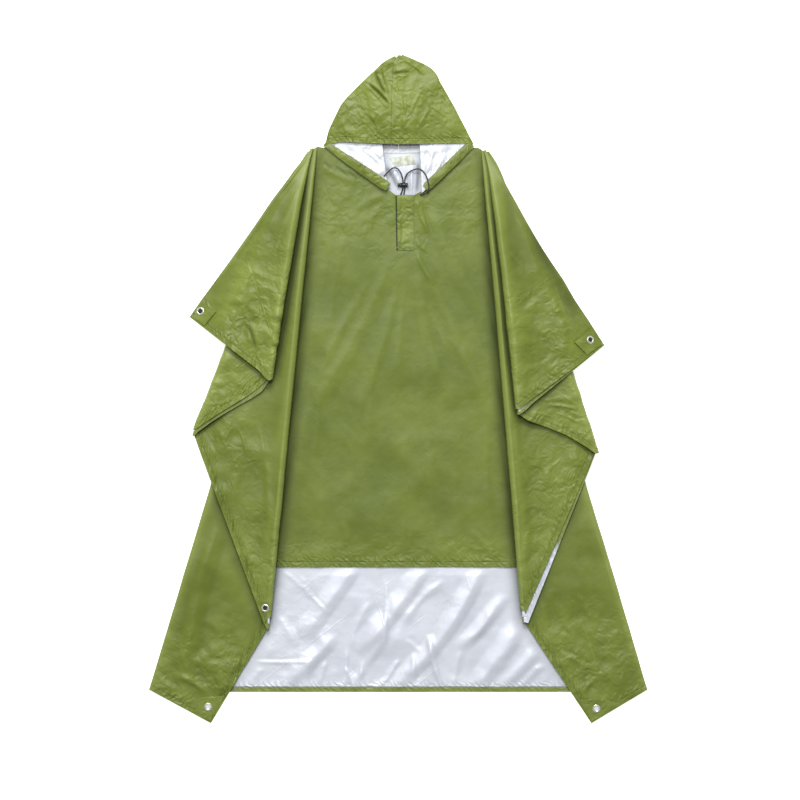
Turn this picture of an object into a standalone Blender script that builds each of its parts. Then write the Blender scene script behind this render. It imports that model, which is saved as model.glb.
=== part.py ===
"""A hooded rain poncho lying face up on a flat surface, its two sides laid in pleats.

The front panel lies on a longer back panel. At each side the pair of panels is folded to and fro
about the shoulder, like a fan, so five levels of two layers lie on each other there. Height is Z,
the hood points to +Y and the hems to -Y. Level 0 lies on the ground and level 4 is the top flap.
"""

import math

import bmesh
import bpy
import numpy as np
from mathutils import Matrix, Vector
from mathutils.bvhtree import BVHTree

# Sizes in metres.
WALL = 0.001  # cloth wall
AIR = 0.0016  # air between the two layers of a level
LEVEL_AIR = 0.0031  # air between a level and what lies under it
SEAM = 0.0004  # gap between two pieces that are sewn together
REST = 0.0005  # gap under a piece that lies on a panel
FOLD_REACH = 0.045  # how far a soft fold lifts the cloth beside it
SEAM_REACH = 0.025  # how far from the shoulder seam the two panels draw apart
ROWS = 13  # points from the shoulder to the hem
ARC = (-40, 40)  # degrees round a fold, where its points lie

# Height maps: the plan is divided into square cells, and heights are kept for each.
CELL = 0.008
EASE = 4  # cells over which a layer climbs a step in what lies under it
PLAN_X, PLAN_Y = 0.68, 0.86  # half sizes of the plan

# Each side's fold lines from the ground up, as they show from above: two places on the line, where
# it meets the front and the back hem, and how far the soft fold stands off.
# name, top_x, top_y, low_x, low_y, front_hem_y, back_hem_y, loft
FOLDS = {
    "left": (
        ("ground", -0.201, 0.545, -0.573, -0.692, -0.409, -0.692, 0.003),
        ("ridge", -0.187, 0.546, -0.292, -0.524, -0.524, -0.552, 0.014),
        ("side", -0.226, 0.546, -0.472, -0.094, -0.106, -0.094, 0.006),
        ("inner", -0.203, 0.547, -0.288, 0.023, 0.023, 0.034, 0.010),
        ("shoulder", -0.215, 0.549, -0.480, 0.166, 0.166, 0.166, 0.0),
    ),
    "right": (
        ("ground", 0.204, 0.545, 0.573, -0.692, -0.409, -0.692, 0.003),
        ("ridge", 0.191, 0.546, 0.281, -0.508, -0.508, -0.536, 0.014),
        ("side", 0.243, 0.546, 0.462, -0.147, -0.143, -0.147, 0.008),
        ("inner", 0.208, 0.547, 0.269, -0.046, -0.046, -0.058, 0.010),
        ("shoulder", 0.221, 0.549, 0.4745, 0.101, 0.101, 0.101, 0.0),
    ),
}
# Corners of a panel, or bends of its hem, that lie inside one level: side, sheet, level, x, y
CORNERS = (
    ("left", "front", 2, -0.3075, -0.541),
    ("left", "back", 2, -0.3085, -0.540),
    ("right", "front", 2, 0.2925, -0.515),
    ("right", "back", 2, 0.2985, -0.538),
    ("left", "back", 1, -0.431, -0.769),
    ("right", "back", 1, 0.4445, -0.769),
)
# Columns of points across each level of a pleated side, for a stretch between two lines.
ACROSS = (2, 3, 4, 3, 4)

FRONT_HEM_Y, BACK_HEM_Y = -0.409, -0.697
# The neck edge of the front panel, with the place on the hem below each point: top_x, top_y, hem_x
FRONT_NECK = (
    (-0.164, 0.5560, -0.360),
    (-0.124, 0.5284, -0.270),
    (-0.076, 0.4953, -0.180),
    (-0.017, 0.4546, -0.090),
    (-0.006, 0.4460, -0.030),
    (0.036, 0.4460, 0.040),
    (0.066, 0.4608, 0.110),
    (0.100, 0.4930, 0.190),
    (0.135, 0.5260, 0.280),
    (0.166, 0.5556, 0.370),
)
# The same for the back panel, whose neck is nearly straight.
BACK_NECK = (
    (-0.164, 0.556, -0.420),
    (-0.084, 0.546, -0.220),
    (0.001, 0.5425, 0.000),
    (0.094, 0.546, 0.220),
    (0.166, 0.5556, 0.420),
)

# The hood's lines, each from the peak down: seam at the front, outline, edge of the inner flap,
# tuck behind the flap, seam at the back.
HOOD = {
    "left": {
        "front_seam": ((-0.001, 0.768), (-0.012, 0.752), (-0.0145, 0.699), (-0.0175, 0.561)),
        "outline": (
            (-0.007, 0.766), (-0.033, 0.754), (-0.058, 0.729), (-0.097, 0.692),
            (-0.129, 0.658), (-0.148, 0.621), (-0.161, 0.593), (-0.168, 0.5600),
        ),
        "flap_edge": ((-0.002, 0.762), (-0.036, 0.561), (-0.024, 0.4612)),
        "tuck": ((-0.0085, 0.761), (-0.084, 0.5466)),
        "back_seam": ((-0.001, 0.765), (0.0008, 0.5430)),
    },
    "right": {
        "front_seam": ((0.0005, 0.768), (-0.0115, 0.752), (-0.014, 0.699), (-0.017, 0.561)),
        "outline": (
            (0.009, 0.769), (0.071, 0.743), (0.089, 0.7245), (0.096, 0.706),
            (0.128, 0.651), (0.160, 0.589), (0.173, 0.5635),
        ),
        "flap_edge": ((0.003, 0.763), (0.049, 0.561), (0.054, 0.4515)),
        "tuck": ((0.010, 0.762), (0.094, 0.5466)),
        "back_seam": ((0.0007, 0.765), (0.0012, 0.5430)),
    },
}
HOOD_ROWS = 8
CROWN = 0.012  # how far the crown stands up over the layers under it
CROWN_AT, CROWN_REACH = (-0.01, 0.64), (0.09, 0.075)

# Drawcord casing down each side of the face opening: the middle line of the strip.
CASING_WIDTH, CASING_WALL = 0.020, 0.0024
CASINGS = {
    "left": ((-0.152, 0.5545), (-0.118, 0.5310), (-0.076, 0.5020), (-0.023, 0.4653)),
    "right": ((0.158, 0.5546), (0.133, 0.5310), (0.103, 0.5027), (0.0605, 0.4635)),
}

# Placket on the chest and bare label at the back neck: the corners round the piece.
PLACKET = ((-0.006, 0.4445), (-0.004, 0.319), (0.0355, 0.319), (0.0355, 0.4445))
LABEL = ((-0.021, 0.5325), (-0.010, 0.512), (0.041, 0.518), (0.034, 0.538))

# Eyelets, and the patch under each: x, y, the patch's corners
EYELETS = {
    "A_left": (-0.455, 0.179, ((-0.473, 0.1655), (-0.4455, 0.2095), (-0.418, 0.178), (-0.445, 0.1455))),
    "A_right": (0.441, 0.113, ((0.468, 0.1015), (0.4445, 0.1395), (0.407, 0.1155), (0.4335, 0.0780))),
    "D_left": (-0.3055, -0.503, None),
    "E_left": (-0.437, -0.731, ((-0.493, -0.722), (-0.433, -0.763), (-0.399, -0.705), (-0.450, -0.708))),
    "E_right": (0.456, -0.735, ((0.413, -0.714), (0.446, -0.763), (0.512, -0.724), (0.462, -0.711))),
}
EYELET_OUTER, EYELET_HOLE, EYELET_BARREL = 0.0092, 0.0052, 0.0062
EYELET_THICK = 0.0010
CLOTH_HOLE = 0.0067
HOLE_BELOW = 0.0004  # how far below the barrel the hole is cut

# Drawcord: its two free stretches, from the casing through the cord lock to a bare end.
CORD = 0.003
CORDS = {
    "left": (
        (-0.0335, 0.4885, 0.0125),
        (-0.0270, 0.4950, 0.0122),
        (-0.0200, 0.5020, 0.0112),
        (-0.0130, 0.5075, 0.0100),
        (-0.0060, 0.5085, 0.0090),
        (0.0000, 0.5050, 0.0082),
        (0.0050, 0.4980, 0.0075),
        (0.0085, 0.4900, 0.0070),
        (0.0106, 0.4810, 0.0068),
        (0.0110, 0.4720, 0.0068),
        (0.0110, 0.4640, 0.0068),
        (0.0090, 0.4560, 0.0050),
        (0.0060, 0.4480, 0.0034),
        (0.0035, 0.4390, 0.0031),
    ),
    "right": (
        (0.0500, 0.4470, 0.0068),
        (0.0570, 0.4470, 0.0090),
        (0.0640, 0.4500, 0.0122),
        (0.0690, 0.4560, 0.0144),
        (0.0705, 0.4640, 0.0146),
        (0.0690, 0.4730, 0.0145),
        (0.0650, 0.4880, 0.0139),
        (0.0570, 0.5000, 0.0120),
        (0.0470, 0.5060, 0.0104),
        (0.0350, 0.5040, 0.0088),
        (0.0240, 0.4980, 0.0078),
        (0.0170, 0.4890, 0.0070),
        (0.0148, 0.4800, 0.0068),
        (0.0147, 0.4720, 0.0068),
        (0.0147, 0.4640, 0.0068),
        (0.0144, 0.4560, 0.0050),
        (0.0130, 0.4480, 0.0034),
        (0.0118, 0.4390, 0.0031),
    ),
}
LOCK = (0.0129, 0.4690, 0.0068)  # middle of the cord lock's barrel
LOCK_LENGTH, LOCK_RADIUS = 0.0185, 0.0052
LOCK_SLOT = (0.0076, 0.0038)  # width and height of the slot that the two cords run through
BUTTON_LENGTH, BUTTON_RADIUS = 0.0050, 0.0042
# The cords' ends go in under the front panel's neck edge and lift it: x, y, height, reach
TAILS = (0.012, 0.440, 0.0046, 0.030)

GREEN, SILVER = (0.258, 0.319, 0.086), (0.70, 0.74, 0.79)
METAL, BLACK, CREAM = (0.78, 0.77, 0.72), (0.012, 0.012, 0.013), (0.76, 0.78, 0.62)


def clear_scene():
    for thing in list(bpy.data.objects):
        bpy.data.objects.remove(thing)


def material(name, colour, roughness, metallic=0.0):
    made = bpy.data.materials.new(name)
    made.use_nodes = True
    shader = made.node_tree.nodes["Principled BSDF"]
    shader.inputs["Base Color"].default_value = (*colour, 1)
    shader.inputs["Roughness"].default_value = roughness
    shader.inputs["Metallic"].default_value = metallic
    return made


# ---------------------------------------------------------------- height maps


def plan_points():
    """The x and y of every cell's middle."""
    xs = np.arange(-PLAN_X, PLAN_X + CELL / 2, CELL)
    ys = np.arange(-PLAN_Y, PLAN_Y + CELL / 2, CELL)
    return np.meshgrid(xs, ys)


GRID_X, GRID_Y = plan_points()


def cell_of(points):
    column = np.rint((points[..., 0] + PLAN_X) / CELL).astype(int)
    row = np.rint((points[..., 1] + PLAN_Y) / CELL).astype(int)
    return row, column


def cover_of(patches):
    """The cells that these patches lie over. A patch is two lines of points, joined straight."""
    cover = np.zeros(GRID_X.shape, bool)
    share = np.linspace(0, 1, 90)[:, None, None]
    for one, other in patches:
        cover[cell_of(one * (1 - share) + other * share)] = True
    return cover


def spread(values, combine, cells=EASE):
    """Each cell combined with those around it, first along one axis and then along the other."""
    for axis in (0, 1):
        shifted = [np.roll(values, shift, axis) for shift in range(-cells, cells + 1)]
        values = combine(shifted)
    return values


def eased(values):
    """The highest value near each cell, smoothed by no more than that nearness, so never below."""
    highest = spread(values, lambda stack: np.max(stack, axis=0))
    return spread(highest, lambda stack: np.mean(stack, axis=0))


def height_at(field, points):
    """The field between its cells' middles, from the four around each point."""
    column = (points[..., 0] + PLAN_X) / CELL
    row = (points[..., 1] + PLAN_Y) / CELL
    left, low = np.floor(column).astype(int), np.floor(row).astype(int)
    across, up = column - left, row - low
    lower = field[low, left] * (1 - across) + field[low, left + 1] * across
    upper = field[low + 1, left] * (1 - across) + field[low + 1, left + 1] * across
    return lower * (1 - up) + upper * up


def distance_to(path, x=GRID_X, y=GRID_Y):
    """How far each plan point lies from a path of straight stretches, and how far along it."""
    nearest, along = np.full(x.shape, 9.0), np.zeros(x.shape)
    for index, (a, b) in enumerate(zip(path, path[1:])):
        dx, dy = b[0] - a[0], b[1] - a[1]
        part = np.clip(((x - a[0]) * dx + (y - a[1]) * dy) / (dx * dx + dy * dy), 0, 1)
        gap = np.hypot(x - a[0] - part * dx, y - a[1] - part * dy)
        closer = gap < nearest
        nearest = np.where(closer, gap, nearest)
        along = np.where(closer, (index + part) / (len(path) - 1), along)
    return nearest, along


def step(values, start, end):
    """0 before start, 1 after end, and a smooth rise between."""
    part = np.clip((values - start) / (end - start), 0, 1)
    return part * part * (3 - 2 * part)


# ---------------------------------------------------------------- plan of the panels


def line(top, foot, count=ROWS):
    share = np.linspace(0, 1, count)[:, None]
    return np.array(top) * (1 - share) + np.array(foot) * share


def fold_line(side, fold, sheet, count=ROWS):
    """A fold's visible line from the shoulder to this panel's hem."""
    _, top_x, top_y, low_x, low_y, front_y, back_y, _ = FOLDS[side][fold]
    hem_y = front_y if sheet == "front" else back_y
    hem_x = top_x + (low_x - top_x) * (hem_y - top_y) / (low_y - top_y)
    return line((top_x, top_y), (hem_x, hem_y), count)


def with_corner(inner, outer, side, sheet, level):
    """The lines that bound a level's stretches. A corner of the hem adds one between its sides.

    That line leaves the shoulder at the corner's own share of the way between the other two.
    """
    for row in CORNERS:
        if row[:3] == (side, sheet, level):
            corner, span = np.array(row[3:]), outer[-1] - inner[-1]
            share = np.clip(np.dot(corner - inner[-1], span) / np.dot(span, span), 0.06, 0.94)
            middle = inner * (1 - share) + outer * share
            down = np.linspace(0, 1, len(inner))[:, None]
            return [inner, middle + down * (corner - middle[-1]), outer]
    return [inner, outer]


def neck_lines(sheet, count=ROWS):
    """The straight lines from the neck edge to the hem, from left to right."""
    rows = FRONT_NECK if sheet == "front" else BACK_NECK
    hem_y = FRONT_HEM_Y if sheet == "front" else BACK_HEM_Y
    return [line((x, y), (hem_x, hem_y), count) for x, y, hem_x in rows]


def level_lines(side, sheet, level, count=ROWS):
    """The two lines that bound a level of one panel."""
    if level == 0:
        inner = neck_lines(sheet, count)[0 if side == "left" else -1]
    else:
        inner = fold_line(side, level - 1, sheet, count)
    return inner, fold_line(side, level, sheet, count)


def patches_of(sheet, level):
    """Both sides' patches of one level of a panel, with its middle where the level is 0."""
    found = []
    for side in FOLDS:
        lines = with_corner(*level_lines(side, sheet, level, 160), side, sheet, level)
        found += list(zip(lines, lines[1:]))
    if level == 0:
        lines = neck_lines(sheet, 160)
        found += list(zip(lines, lines[1:]))
    return found


# ---------------------------------------------------------------- how the layers settle


def lies_low(sheet, level):
    """Whether this panel is the lower of the two on its level: they change places at each fold."""
    return (sheet == "back") == (level % 2 == 0)


def shoulder_pull():
    """1 on the shoulder seams, where the panels meet, falling to 0 a little way from them."""
    pull = np.zeros(GRID_X.shape)
    for side, neck in (("left", FRONT_NECK[0]), ("right", FRONT_NECK[-1])):
        top, *_, end = fold_line(side, 4, "front")
        gap, _ = distance_to((end, top, neck[:2]))
        pull = np.maximum(pull, np.exp(-((gap / SEAM_REACH) ** 2)))
    return pull


def fold_loft(level):
    """How far the soft folds that lead up to this level hold it off the one below."""
    loft = np.zeros(GRID_X.shape)
    if level == 0:
        return loft
    for side in FOLDS:
        *_, height = FOLDS[side][level - 1]
        top, *_, foot = fold_line(side, level - 1, "back")
        gap, along = distance_to((top, foot))
        rise = step(along, 0.0, 0.35) * (1 - 0.75 * step(along, 0.7, 1.0))
        loft = np.maximum(loft, height * rise * np.exp(-((gap / FOLD_REACH) ** 2)))
    return loft


def settle(top, cover):
    """The lowest smooth sheet over what lies under this cover, and where anything does."""
    near = spread(cover.astype(float), lambda stack: np.max(stack, axis=0), 1) > 0
    under = np.where(near, top, 0)
    return eased(under), eased((under > 0).astype(float))


def pile_up():
    """Each layer's middle height, as a map named (piece, level), laid from the ground up."""
    heights = {}
    top = np.zeros(GRID_X.shape)
    pull = shoulder_pull()

    def lay(name, cover, field):
        nonlocal top
        heights[name] = field
        top = np.where(cover, np.maximum(top, field + WALL / 2), top)

    def lay_level(level):
        low, high = ("back", "front") if lies_low("back", level) else ("front", "back")
        cover_low, cover_high = cover_of(patches_of(low, level)), cover_of(patches_of(high, level))
        base, held = settle(top, cover_low | cover_high)
        field = base + WALL / 2 + LEVEL_AIR * held + fold_loft(level)
        apart = (WALL + AIR * (1 - pull) + SEAM * pull) * eased(cover_low.astype(float))
        if level == 0:
            x, y, height, reach = TAILS
            apart = apart + height * np.exp(-((GRID_X - x) ** 2 + (GRID_Y - y) ** 2) / reach**2)
        lay((low, level), cover_low, field)
        lay((high, level), cover_high, field + apart)

    def lay_hood(name, cover, loft=0.0, seam=0.0):
        base, held = settle(top, cover)
        lay(name, cover, base + WALL / 2 + (AIR * (1 - seam) + SEAM * seam) * held + loft)

    lay_level(0)
    neck, _ = distance_to([row[:2] for row in BACK_NECK])
    lay_hood(("hood", "bottom"), hood_cover("tuck", "back_seam"), seam=np.exp(-((neck / SEAM_REACH) ** 2)))
    lay_hood(("hood", "tuck"), hood_cover("flap_edge", "tuck"))
    lay_hood(("hood", "flap"), hood_cover("outline", "flap_edge"))
    for level in (1, 2, 3, 4):
        lay_level(level)
    far = ((GRID_X - CROWN_AT[0]) / CROWN_REACH[0]) ** 2 + ((GRID_Y - CROWN_AT[1]) / CROWN_REACH[1]) ** 2
    lay_hood(("hood", "crown"), hood_cover("front_seam", "outline"), CROWN * np.exp(-far))
    return heights


# ---------------------------------------------------------------- sheets of cloth


def raised(points, field):
    return np.concatenate([points, height_at(field, points)[..., None]], axis=-1)


def outward(points, sign):
    """The unit plan direction square to a line, towards the side that sign names in x."""
    along = np.gradient(points, axis=0)
    square = np.stack([-along[:, 1], along[:, 0]], axis=1)
    square /= np.linalg.norm(square, axis=1)[:, None]
    return square * np.where(square[:, :1] * sign > 0, 1, -1)


def fold_sides(heights, side, fold, sheet):
    """The axis that a fold turns round, the way it points, and the sheet's heights under and over.

    The axis lies back from the visible line by the outer panel's turning radius, so that the two
    panels turn round one axis, a layer apart.
    """
    shown = fold_line(side, fold, sheet)
    sign = (-1 if side == "left" else 1) * (1 if fold % 2 == 0 else -1)
    way = outward(shown, sign)
    outer = "back" if lies_low("back", fold) else "front"
    radius = (height_at(heights[outer, fold + 1], shown) - height_at(heights[outer, fold], shown)) / 2
    return shown - way * radius[:, None], way


def round_fold(axis, way, under, over):
    """Columns of points round a fold: a half circle on the axis from one height to the other."""
    middle, radius = (under + over) / 2, (over - under) / 2
    columns = []
    for degrees in ARC:
        turn = math.radians(degrees)
        plan = axis + way * (radius * math.cos(turn))[:, None]
        columns.append(np.column_stack([plan, middle + radius * math.sin(turn)]))
    return columns


def between(one, other, count):
    """Columns from one line to the other, both ends left out, spread evenly."""
    return [one * (1 - n / count) + other * n / count for n in range(1, count)]


def side_columns(heights, side, sheet):
    """One side of a panel, from its last neck line out to the shoulder edge of its top flap."""
    columns = []
    bound = None
    for level in range(5):
        inner, outer = level_lines(side, sheet, level)
        if level:
            inner = bound
        if level < 4:
            outer, way = fold_sides(heights, side, level, sheet)
        lines = with_corner(inner, outer, side, sheet, level)
        field = heights[sheet, level]
        for one, other in zip(lines, lines[1:]):
            narrow = np.abs(one[-1] - other[-1]).max() < 0.05
            count = 1 if narrow else ACROSS[level]
            if one is not lines[0] or level:
                columns.append(raised(one, field))
            columns += [raised(column, field) for column in between(one, other, count)]
        columns.append(raised(lines[-1], field))
        if level < 4:
            bound = lines[-1]
            above = heights[sheet, level + 1]
            columns += round_fold(bound, way, height_at(field, bound), height_at(above, bound))
    return columns


def panel_columns(heights, sheet):
    middle = [raised(column, heights[sheet, 0]) for column in neck_lines(sheet)]
    left = side_columns(heights, "left", sheet)
    return left[::-1] + middle + side_columns(heights, "right", sheet)


def sheet_object(name, columns, look, wall=WALL):
    """A closed wall of cloth round the grid of points that these columns make, facing up."""
    count, rows = len(columns), len(columns[0])
    points = np.concatenate(columns)
    faces = []
    for column in range(count - 1):
        for row in range(rows - 1):
            first = column * rows + row
            faces.append((first, first + 1, first + rows + 1, first + rows))
    mesh = bpy.data.meshes.new(name)
    mesh.from_pydata(points.tolist(), [], faces)
    mesh.materials.append(look)
    piece = bpy.data.objects.new(name, mesh)
    bpy.context.scene.collection.objects.link(piece)
    solid = piece.modifiers.new("cloth wall", "SOLIDIFY")
    solid.thickness = wall
    solid.offset = 0
    solid.use_even_offset = True
    return piece


# ---------------------------------------------------------------- hood


def hood_line(side, name, count=HOOD_ROWS):
    """A line of the hood from the peak down, its points level-spaced in y."""
    points = np.array(HOOD[side][name])
    ys = np.linspace(points[0, 1], points[-1, 1], count)
    return np.column_stack([np.interp(-ys, -points[:, 1], points[:, 0]), ys])


def hood_cover(one, other):
    patches = [(hood_line(side, one, 120), hood_line(side, other, 120)) for side in HOOD]
    return cover_of(patches)


def hood_columns(heights, side):
    """Half of the hood: crown, round the outline, flap, round its edge, tuck, and back to the seam."""
    sign = -1 if side == "left" else 1
    names = ("front_seam", "outline", "flap_edge", "tuck", "back_seam")
    layers = [heights["hood", name] for name in ("crown", "flap", "tuck", "bottom")]
    ways = (None, sign, -sign, sign, None)
    lines = [hood_line(side, name) for name in names]
    turns = []
    for index in (1, 2, 3):
        way = outward(lines[index], ways[index])
        radius = np.abs(height_at(layers[index - 1], lines[index]) - height_at(layers[index], lines[index])) / 2
        lines[index] = lines[index] - way * radius[:, None]
        turns.append(way)
    columns = []
    for index, layer in enumerate(layers):
        one, other = lines[index], lines[index + 1]
        count = (4, 3, 2, 2)[index]
        run = [one, *between(one, other, count), other]
        columns += [raised(column, layer) for column in run]
        if index < 3:
            ends = height_at(layer, other), height_at(layers[index + 1], other)
            columns += round_fold(other, turns[index], ends[1], ends[0])[::-1]
    return columns


# ---------------------------------------------------------------- pieces that lie on the panels


def surface_under(names):
    """The top surface of these solids, for laying other pieces on."""
    graph = bpy.context.evaluated_depsgraph_get()
    points, faces = [], []
    for name in names:
        piece = bpy.data.objects[name].evaluated_get(graph)
        mesh = piece.to_mesh()
        start = len(points)
        points += [vertex.co.copy() for vertex in mesh.vertices]
        faces += [[start + corner for corner in face.vertices] for face in mesh.polygons]
        piece.to_mesh_clear()
    return BVHTree.FromPolygons(points, faces)


def top_of(tree, x, y, down_from=0.2):
    """Height and upward direction of the first surface under this place, ground if none."""
    place, normal, _, _ = tree.ray_cast(Vector((x, y, down_from)), Vector((0, 0, -1)))
    if place is None:
        return 0.0, Vector((0, 0, 1))
    return place.z, (normal if normal.z > 0 else -normal)


def laid_on(tree, plan, wall, reach=0.004, climb=0.004):
    """Columns of plan points lifted so that a wall round them clears the surface under it.

    Each point clears what lies within reach of it, other than steps higher than it can climb.
    """
    columns = []
    for column in plan:
        heights = []
        for x, y in column:
            around = [(x + dx, y + dy) for dx in (-reach, 0, reach) for dy in (-reach, 0, reach)]
            near = [top_of(tree, *place)[0] for place in around]
            middle = top_of(tree, x, y)[0]
            heights.append(max(each for each in near if each <= middle + climb) + REST + wall / 2)
        columns.append(np.column_stack([column, heights]))
    return columns


def quad_plan(corners, across, down):
    """A grid of plan points inside four corners: down the first side, across to the other."""
    a, b, c, d = (np.array(corner) for corner in corners)
    columns = []
    for n in range(across + 1):
        share = n / across
        columns.append(line(a * (1 - share) + d * share, b * (1 - share) + c * share, down + 1))
    return columns


def strip_plan(path, width, across, down):
    """A strip of this width along a path: columns run along it, spread square to it."""
    path = np.array(path)
    at = np.linspace(0, len(path) - 1, down + 1)
    middle = np.column_stack([np.interp(at, range(len(path)), path[:, axis]) for axis in (0, 1)])
    way = outward(middle, -1)
    return [middle + way * width * (0.5 - n / across) for n in range(across + 1)]


# ---------------------------------------------------------------- eyelets, cord and cord lock


def cut_away(piece, form, place):
    """Takes this closed form out of a piece."""
    mesh = bpy.data.meshes.new("cutter")
    form.to_mesh(mesh)
    form.free()
    cutter = bpy.data.objects.new(f"cutter_{piece.name}_{len(piece.modifiers)}", mesh)
    bpy.context.scene.collection.objects.link(cutter)
    cutter.matrix_world = place
    cutter.hide_render = True
    cutter.display_type = "WIRE"
    hole = piece.modifiers.new("hole", "BOOLEAN")
    hole.object = cutter
    hole.operation = "DIFFERENCE"
    hole.solver = "EXACT"


def punch(piece, place, normal, above, below):
    """Cuts a round hole through one layer of cloth, square to it, from above the place to below."""
    form = bmesh.new()
    bmesh.ops.create_cone(
        form, cap_ends=True, segments=16, radius1=CLOTH_HOLE, radius2=CLOTH_HOLE, depth=above + below
    )
    middle = Matrix.Translation(place + normal * (above - below) / 2)
    cut_away(piece, form, middle @ turned_to(normal))


def turned_to(normal):
    return Vector((0, 0, 1)).rotation_difference(normal).to_matrix().to_4x4()


def eyelet_object(name, place, normal, depth, look):
    """A rolled flange on the cloth and a barrel through it, turned about the eyelet's axis."""
    lip = EYELET_THICK * 0.35
    profile = (
        (EYELET_OUTER, 0.0),
        (EYELET_OUTER, lip),
        (EYELET_OUTER - lip, EYELET_THICK),
        (EYELET_HOLE + lip, EYELET_THICK),
        (EYELET_HOLE, lip),
        (EYELET_HOLE, -depth),
        (EYELET_BARREL, -depth),
        (EYELET_BARREL, 0.0),
    )
    form = bmesh.new()
    steps = 24
    rings = []
    for n in range(steps):
        turn = 2 * math.pi * n / steps
        ring = [form.verts.new((r * math.cos(turn), r * math.sin(turn), z)) for r, z in profile]
        rings.append(ring)
    for one, other in zip(rings, rings[1:] + rings[:1]):
        for index in range(len(profile)):
            after = (index + 1) % len(profile)
            form.faces.new((one[index], other[index], other[after], one[after]))
    bmesh.ops.recalc_face_normals(form, faces=form.faces)
    mesh = bpy.data.meshes.new(name)
    form.to_mesh(mesh)
    form.free()
    mesh.materials.append(look)
    piece = bpy.data.objects.new(name, mesh)
    piece.matrix_world = Matrix.Translation(place) @ turned_to(normal)
    bpy.context.scene.collection.objects.link(piece)
    return piece


def cord_object(name, route, look):
    """A round cord along a smooth curve through the route's points."""
    route = np.array(route)
    count = len(route)
    tangents = np.gradient(route, axis=0)
    path = []
    for index in range(count - 1):
        for share in (0, 0.5):
            a, b = route[index], route[index + 1]
            p, q = tangents[index], tangents[index + 1]
            t2, t3 = share**2, share**3
            path.append(
                (2 * t3 - 3 * t2 + 1) * a + (t3 - 2 * t2 + share) * p + (3 * t2 - 2 * t3) * b + (t3 - t2) * q
            )
    path.append(route[-1])
    curve = bpy.data.curves.new(name, "CURVE")
    curve.dimensions = "3D"
    curve.bevel_depth = CORD / 2
    curve.bevel_resolution = 2
    curve.use_fill_caps = True
    spline = curve.splines.new("POLY")
    spline.points.add(len(path) - 1)
    for point, place in zip(spline.points, path):
        point.co = (*place, 1)
    curve.materials.append(look)
    piece = bpy.data.objects.new(name, curve)
    bpy.context.scene.collection.objects.link(piece)
    return piece


def barrel_object(name, start, length, radius, look, bevel):
    """A short round bar along x with eased ends."""
    mesh = bpy.data.meshes.new(name)
    form = bmesh.new()
    bmesh.ops.create_cone(form, cap_ends=True, segments=20, radius1=radius, radius2=radius, depth=length)
    form.to_mesh(mesh)
    form.free()
    mesh.materials.append(look)
    piece = bpy.data.objects.new(name, mesh)
    middle = Vector(start) + Vector((length / 2, 0, 0))
    piece.matrix_world = Matrix.Translation(middle) @ Matrix.Rotation(math.pi / 2, 4, "Y")
    bpy.context.scene.collection.objects.link(piece)
    ease = piece.modifiers.new("eased ends", "BEVEL")
    ease.width = bevel
    ease.segments = 2
    ease.limit_method = "ANGLE"
    return piece


def cord_lock(look):
    """A barrel along x with a slot through it for the two cords, and its spring button at one end."""
    x, y, z = LOCK
    start = (x - LOCK_LENGTH / 2, y, z)
    body = barrel_object("cord_lock_body", start, LOCK_LENGTH, LOCK_RADIUS, look, 0.001)
    form = bmesh.new()
    bmesh.ops.create_cube(form, size=1.0)
    bmesh.ops.scale(form, vec=(LOCK_SLOT[0], 4 * LOCK_RADIUS, LOCK_SLOT[1]), verts=form.verts)
    cut_away(body, form, Matrix.Translation(LOCK))
    start = (start[0] - SEAM - BUTTON_LENGTH, y, z)
    barrel_object("cord_lock_button", start, BUTTON_LENGTH, BUTTON_RADIUS, look, 0.0008)


def slope_at(tree, x, y, reach):
    """The height and the mean upward direction of the surface within reach of this place."""
    east, west = top_of(tree, x + reach, y)[0], top_of(tree, x - reach, y)[0]
    north, south = top_of(tree, x, y + reach)[0], top_of(tree, x, y - reach)[0]
    upward = Vector((west - east, south - north, 2 * reach)).normalized()
    return top_of(tree, x, y)[0], upward


def eyelet_with_patch(name, panel, cloth, metal):
    """An eyelet set through a panel's top layer, with its patch between where it has one."""
    x, y, corners = EYELETS[name]
    patch = None
    if corners:
        tree = surface_under((panel.name,))
        patch = sheet_object(f"patch_{name}", laid_on(tree, quad_plan(corners, 4, 4), WALL, 0.0036), cloth)
        bpy.context.view_layer.update()
    names = (patch.name,) if patch else (panel.name,)
    height, upward = slope_at(surface_under(names), x, y, EYELET_OUTER)
    spots = [(x + EYELET_OUTER * math.cos(turn), y + EYELET_OUTER * math.sin(turn)) for turn in np.arange(8) * math.pi / 4]
    tree = surface_under(names)
    lift = max(
        (top_of(tree, *spot)[0] - height) - -(upward.x * (spot[0] - x) + upward.y * (spot[1] - y)) / upward.z
        for spot in spots
    )
    place = Vector((x, y, height + max(lift, 0) + SEAM))
    deep = (WALL + 2.4 * REST if patch else 0) + WALL + SEAM
    eyelet_object(f"eyelet_{name}", place, upward, deep + max(lift, 0), metal)
    for piece in (panel, patch):
        if piece:
            punch(piece, place, upward, 0.004, deep + max(lift, 0) + HOLE_BELOW)


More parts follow.
